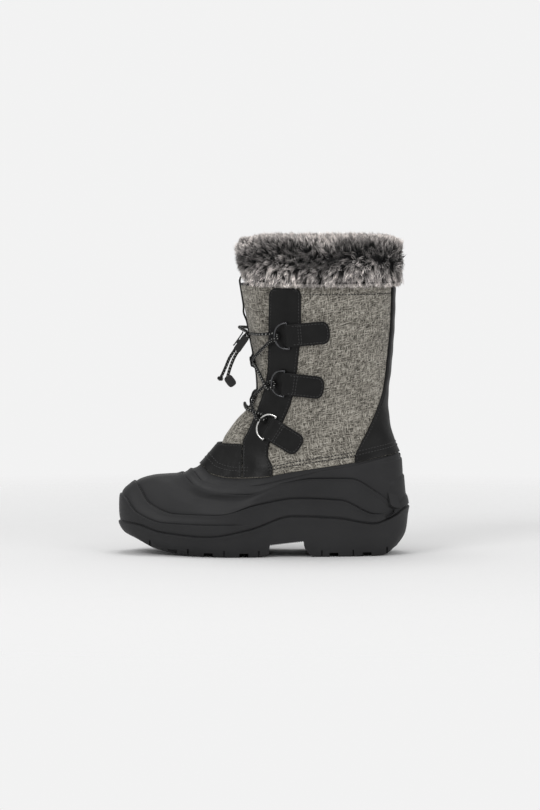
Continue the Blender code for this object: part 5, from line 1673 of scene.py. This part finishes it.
def fur_locks(body, normal, area, random):
    """Where each lock grows, the fur's normal there, its share of the height, its aim and its length."""
    weight = (area * np.where(normal[..., 2] < UNDERSIDE, UNDERSIDE_SHARE, 1.0)).ravel()
    picked = random.choice(len(weight), LOCKS, p=weight / weight.sum())
    anchor = body.reshape(-1, 3)[picked]
    out = normal.reshape(-1, 3)[picked]
    height = (anchor[:, 2] - body[..., 2].min()) / FUR_HEIGHT
    # The locks on the lower half hang and those on the upper half stand, as the parting shows
    fall = FALL * np.clip((height - FALL_HEIGHT) * FALL_TURN, -1.0, 1.0)
    lean = [SCATTER * random.randn(LOCKS) - FORWARD, SCATTER * random.randn(LOCKS),
            fall + RISE_SCATTER * random.randn(LOCKS)]
    aim = unit(out * OUT_SHARE + np.stack(lean, -1))
    inward = np.minimum((aim * out).sum(axis=1) - LEAST_STAND, 0)
    aim = unit(aim - out * inward[:, None])
    length = STRAND_LENGTH * (0.62 + 0.5 * random.rand(LOCKS))
    stand = (aim * out).sum(axis=1)
    ends = bell(anchor[:, 0] - body[..., 0].min(), FUR_CORNER)
    ends += HEEL_END * bell(body[..., 0].max() - anchor[:, 0], FUR_CORNER)
    shy = 1.6 * FUR_STANDS * ends * smooth((height - 0.55) / 0.4)
    stands = FUR_STANDS * (0.5 + random.rand(LOCKS)) - shy
    length = np.minimum(length, (FUR_SINK + stands) / np.maximum(stand, LEAST_STAND))
    ceiling = body[..., 2].max() + FUR_SINK - FUR_EDGE + UNEVEN_TOP * random.rand(LOCKS) - FUR_ROUNDED * ends
    cellar = SHAFT_HEIGHT - FUR_EDGE - UNEVEN_FOOT * random.rand(LOCKS)
    for room, speed in ((ceiling - anchor[:, 2], aim[:, 2]), (anchor[:, 2] - cellar, -aim[:, 2])):
        length = np.minimum(length, np.maximum(room, LEAST_LENGTH) / np.maximum(speed, LEAST_SPEED))
    return anchor, out, height, aim, length


def fur_strands(anchor, out, aim, length, lock, random):
    """Points of every strand: pairs along its two edges, and its tip."""
    count = len(lock)
    spread = random.randn(count, 3) * LOCK_SPREAD
    spread -= out[lock] * (spread * out[lock]).sum(axis=1)[:, None]
    root = anchor[lock] + spread
    reach = (length[lock] * (0.78 + 0.3 * random.rand(count)))[:, None]
    tip_spread = random.randn(count, 3) * TIP_SPREAD
    bend = np.cross(aim[lock], random.randn(count, 3)) * LOCK_SPREAD
    t = np.linspace(0, 1, STRAND_POINTS)[None, :, None]
    arc = t * (1 - t)
    to_tip = aim[lock] * reach + tip_spread - spread * GATHER
    line = root[:, None] + to_tip[:, None] * t
    line += bend[:, None] * (arc * 4) + out[lock][:, None] * (arc * STRAND_ARCH)
    beside = unit(np.cross(aim[lock], random.randn(count, 3)))[:, None]
    width = STRAND_WIDTH * np.array(STRAND_TAPER)[None, :, None]
    both = np.stack([line[:, :-1] - beside * width, line[:, :-1] + beside * width], axis=2)
    return np.concatenate([both.reshape(count, -1, 3), line[:, -1:]], axis=1)


def fur_shades(anchor, height, lock, random):
    """Colours of the strands' points: dark at the root and in a wavy parting, light at the tip."""
    light = smooth((np.linspace(0, 1, STRAND_POINTS)[None, :, None] - 0.34) / 0.40)
    wavy = PARTING_HEIGHT + 0.1 * np.sin(9 * anchor[:, 0] / SHAFT_WIDTH)
    parting = 1 - PARTING_DARK * bell(height - wavy, PARTING_WIDTH)
    tone = (parting * (0.35 + 1.25 * random.rand(LOCKS) ** 1.3))[lock] * (0.8 + 0.4 * random.rand(len(lock)))
    colour = ROOT_SHADE + light * tone[:, None, None] * (np.array(TIP_SHADE) - ROOT_SHADE)
    shade = np.ones((len(lock), 2 * STRAND_POINTS - 1, 4))
    shade[:, :-1, :3] = np.repeat(colour[:, :-1], 2, axis=1)
    shade[:, -1, :3] = colour[:, -1]
    return shade


def make_fur(finish, base):
    """A dark backing ring and fine strands in locks, that fall under a parting and stand over it."""
    body, normal, area = fur_body(300, FUR_SINK)
    rows, columns = body.shape[:2]
    points = np.concatenate([body, body[:1]]).reshape(-1, 3)
    faces = grid_faces(rows + 1, columns, True)[:, ::-1]
    shade = np.tile([ROOT_SHADE, ROOT_SHADE, ROOT_SHADE, 1.0], (len(points), 1))
    mesh_piece("fur_backing", points, faces, base, "fur", ("fur_collar",), None, shade)
    random = np.random.RandomState(FUR_SEED)
    lock = np.repeat(np.arange(LOCKS), STRANDS)
    anchor, out, height, aim, length = fur_locks(body, normal, area, random)
    strands = fur_strands(anchor, out, aim, length, lock, random)
    shades = fur_shades(anchor, height, lock, random)
    each = strands.shape[1]
    pattern = [(each - 3, each - 2, each - 1)]
    for k in range(0, each - 3, 2):
        pattern += [(k, k + 1, k + 3), (k, k + 3, k + 2)]
    for part in range(FUR_PIECES):
        pick = np.arange(part, len(lock), FUR_PIECES)
        faces = (np.array(pattern) + (np.arange(len(pick)) * each)[:, None, None]).reshape(-1, 3)
        mesh_piece(f"fur_locks_{part + 1}", strands[pick].reshape(-1, 3), faces, finish, "fur", (), None,
                   shades[pick].reshape(-1, 4))


# Studio

FLOOR_RADIUS = 1.1
FLOOR_SIDES = 64
FLOOR_SHADE = 0.815
SEEN_LIGHT = 0.89
WORLD_LIGHT = 0.62
LIGHT_AIM = (0.0, 0.0, 0.14)
# Name, place, size and power of each soft light
LIGHTS = (
    ("key", (-1.1, -1.6, 1.7), 1.0, 15.0),
    ("fill", (1.5, -1.3, 1.1), 1.4, 6.0),
    ("top", (0.0, 0.2, 2.2), 1.2, 13.0),
)
VIEW_TRANSFORM = "Standard"


def make_studio():
    """A pale round floor that fades into an even pale surrounding, and soft lights."""
    rings = np.linspace(0.05, 1, 12) * FLOOR_RADIUS
    points = [(0, 0, 0)]
    points += [(r * math.cos(t), r * math.sin(t), 0) for r in rings for t in turns(FLOOR_SIDES)]
    faces = [(0, 1 + j, 1 + (j + 1) % FLOOR_SIDES) for j in range(FLOOR_SIDES)]
    faces += (grid_faces(len(rings), FLOOR_SIDES, True)[:, ::-1] + 1).tolist()
    mesh = bpy.data.meshes.new("floor")
    mesh.from_pydata(points, [], faces)
    finish, tree, shader = new_material("floor", 0.9, 0.1)
    shader.inputs["Base Color"].default_value = (FLOOR_SHADE, FLOOR_SHADE, FLOOR_SHADE, 1)
    away = node(tree, "ShaderNodeVectorMath", {0: object_place(tree)}, operation="LENGTH").outputs["Value"]
    gone = ramp(tree, away, ((0.40, 0.0), (0.98, 1.0)))
    clear = node(tree, "ShaderNodeBsdfTransparent").outputs["BSDF"]
    both = node(tree, "ShaderNodeMixShader", {0: gone, 1: shader.outputs["BSDF"], 2: clear}).outputs["Shader"]
    tree.links.new(both, tree.nodes["Material Output"].inputs["Surface"])
    mesh.materials.append(finish)
    add_object("floor", mesh, (0, 0, 0))
    world = bpy.data.worlds.new("studio")
    bpy.context.scene.world = world
    world.use_nodes = True
    tree = world.node_tree
    seen = node(tree, "ShaderNodeLightPath").outputs["Is Camera Ray"]
    tree.nodes["Background"].inputs["Color"].default_value = (1, 1, 1, 1)
    extra = maths(tree, "MULTIPLY", seen, SEEN_LIGHT - WORLD_LIGHT)
    tree.links.new(maths(tree, "ADD", extra, WORLD_LIGHT), tree.nodes["Background"].inputs["Strength"])
    for name, at, size, power in LIGHTS:
        light = bpy.data.lights.new(name, "AREA")
        light.shape = "DISK"
        light.size = size
        light.energy = power
        lamp = add_object(name, light, at)
        lamp.rotation_euler = (Vector(LIGHT_AIM) - Vector(at)).to_track_quat("-Z", "Y").to_euler()


def make_camera():
    """The photo's view: its middle column and its ground row give the point that it looks at."""
    aim_x = (PICTURE_WIDTH / 2 - CENTRE_COLUMN) * METRES_PER_PIXEL
    aim_z = (GROUND_ROW - PICTURE_HEIGHT / 2) * METRES_PER_PIXEL
    aim = Vector((aim_x, AIM_SIDE, aim_z))
    rise, yaw = math.radians(CAMERA_RISE), math.radians(CAMERA_YAW)
    back = Vector((math.sin(yaw) * math.cos(rise), -math.cos(yaw) * math.cos(rise), math.sin(rise)))
    view = bpy.data.cameras.new("view")
    view.sensor_width = SENSOR
    view.sensor_fit = "AUTO"
    view.lens = SENSOR * CAMERA_DISTANCE / (PICTURE_HEIGHT * METRES_PER_PIXEL)
    camera = add_object("view", view, aim + back * CAMERA_DISTANCE)
    camera.rotation_euler = (-back).to_track_quat("-Z", "Y").to_euler()
    bpy.context.scene.camera = camera


def line_insole(finish):
    """The insole stays the part's own node, with a felt finish in its slot."""
    slots = frame["nodes"]["insole"].data.materials
    slots.clear()
    slots.append(finish)


def main():
    make_camera()
    cord, plastic = cord_material(), plastic_material()
    make_cords(cord, plastic)
    make_studio()
    bpy.context.scene.view_settings.view_transform = VIEW_TRANSFORM
    leather, thread, tweed = leather_material(), thread_material(), tweed_material()
    metals = {
        # The upper rings' metal is the lowest ring's nickel with its base colour darkened as a painted dark
        # reflection
        "gunmetal": wire_material("gunmetal", (0.10, 0.10, 0.105), 0.22),
        "nickel": wire_material("nickel", (0.80, 0.79, 0.77), 0.16),
    }
    make_shell(rubber_material())
    line_insole(dark_cloth("felt", 0.05))
    make_upper(tweed)
    make_tongue(tweed, leather)
    make_vamp(leather)
    make_counter(leather)
    for word, side in SIDES:
        make_eyestay(word, side, leather)
    make_fittings(leather, metals, thread)
    make_webbing(dark_cloth("webbing", 0.016, 1400))
    make_stitches(thread)
    make_fur(fur_material(), dark_cloth("fur_backing", 0.012, 500))


main()
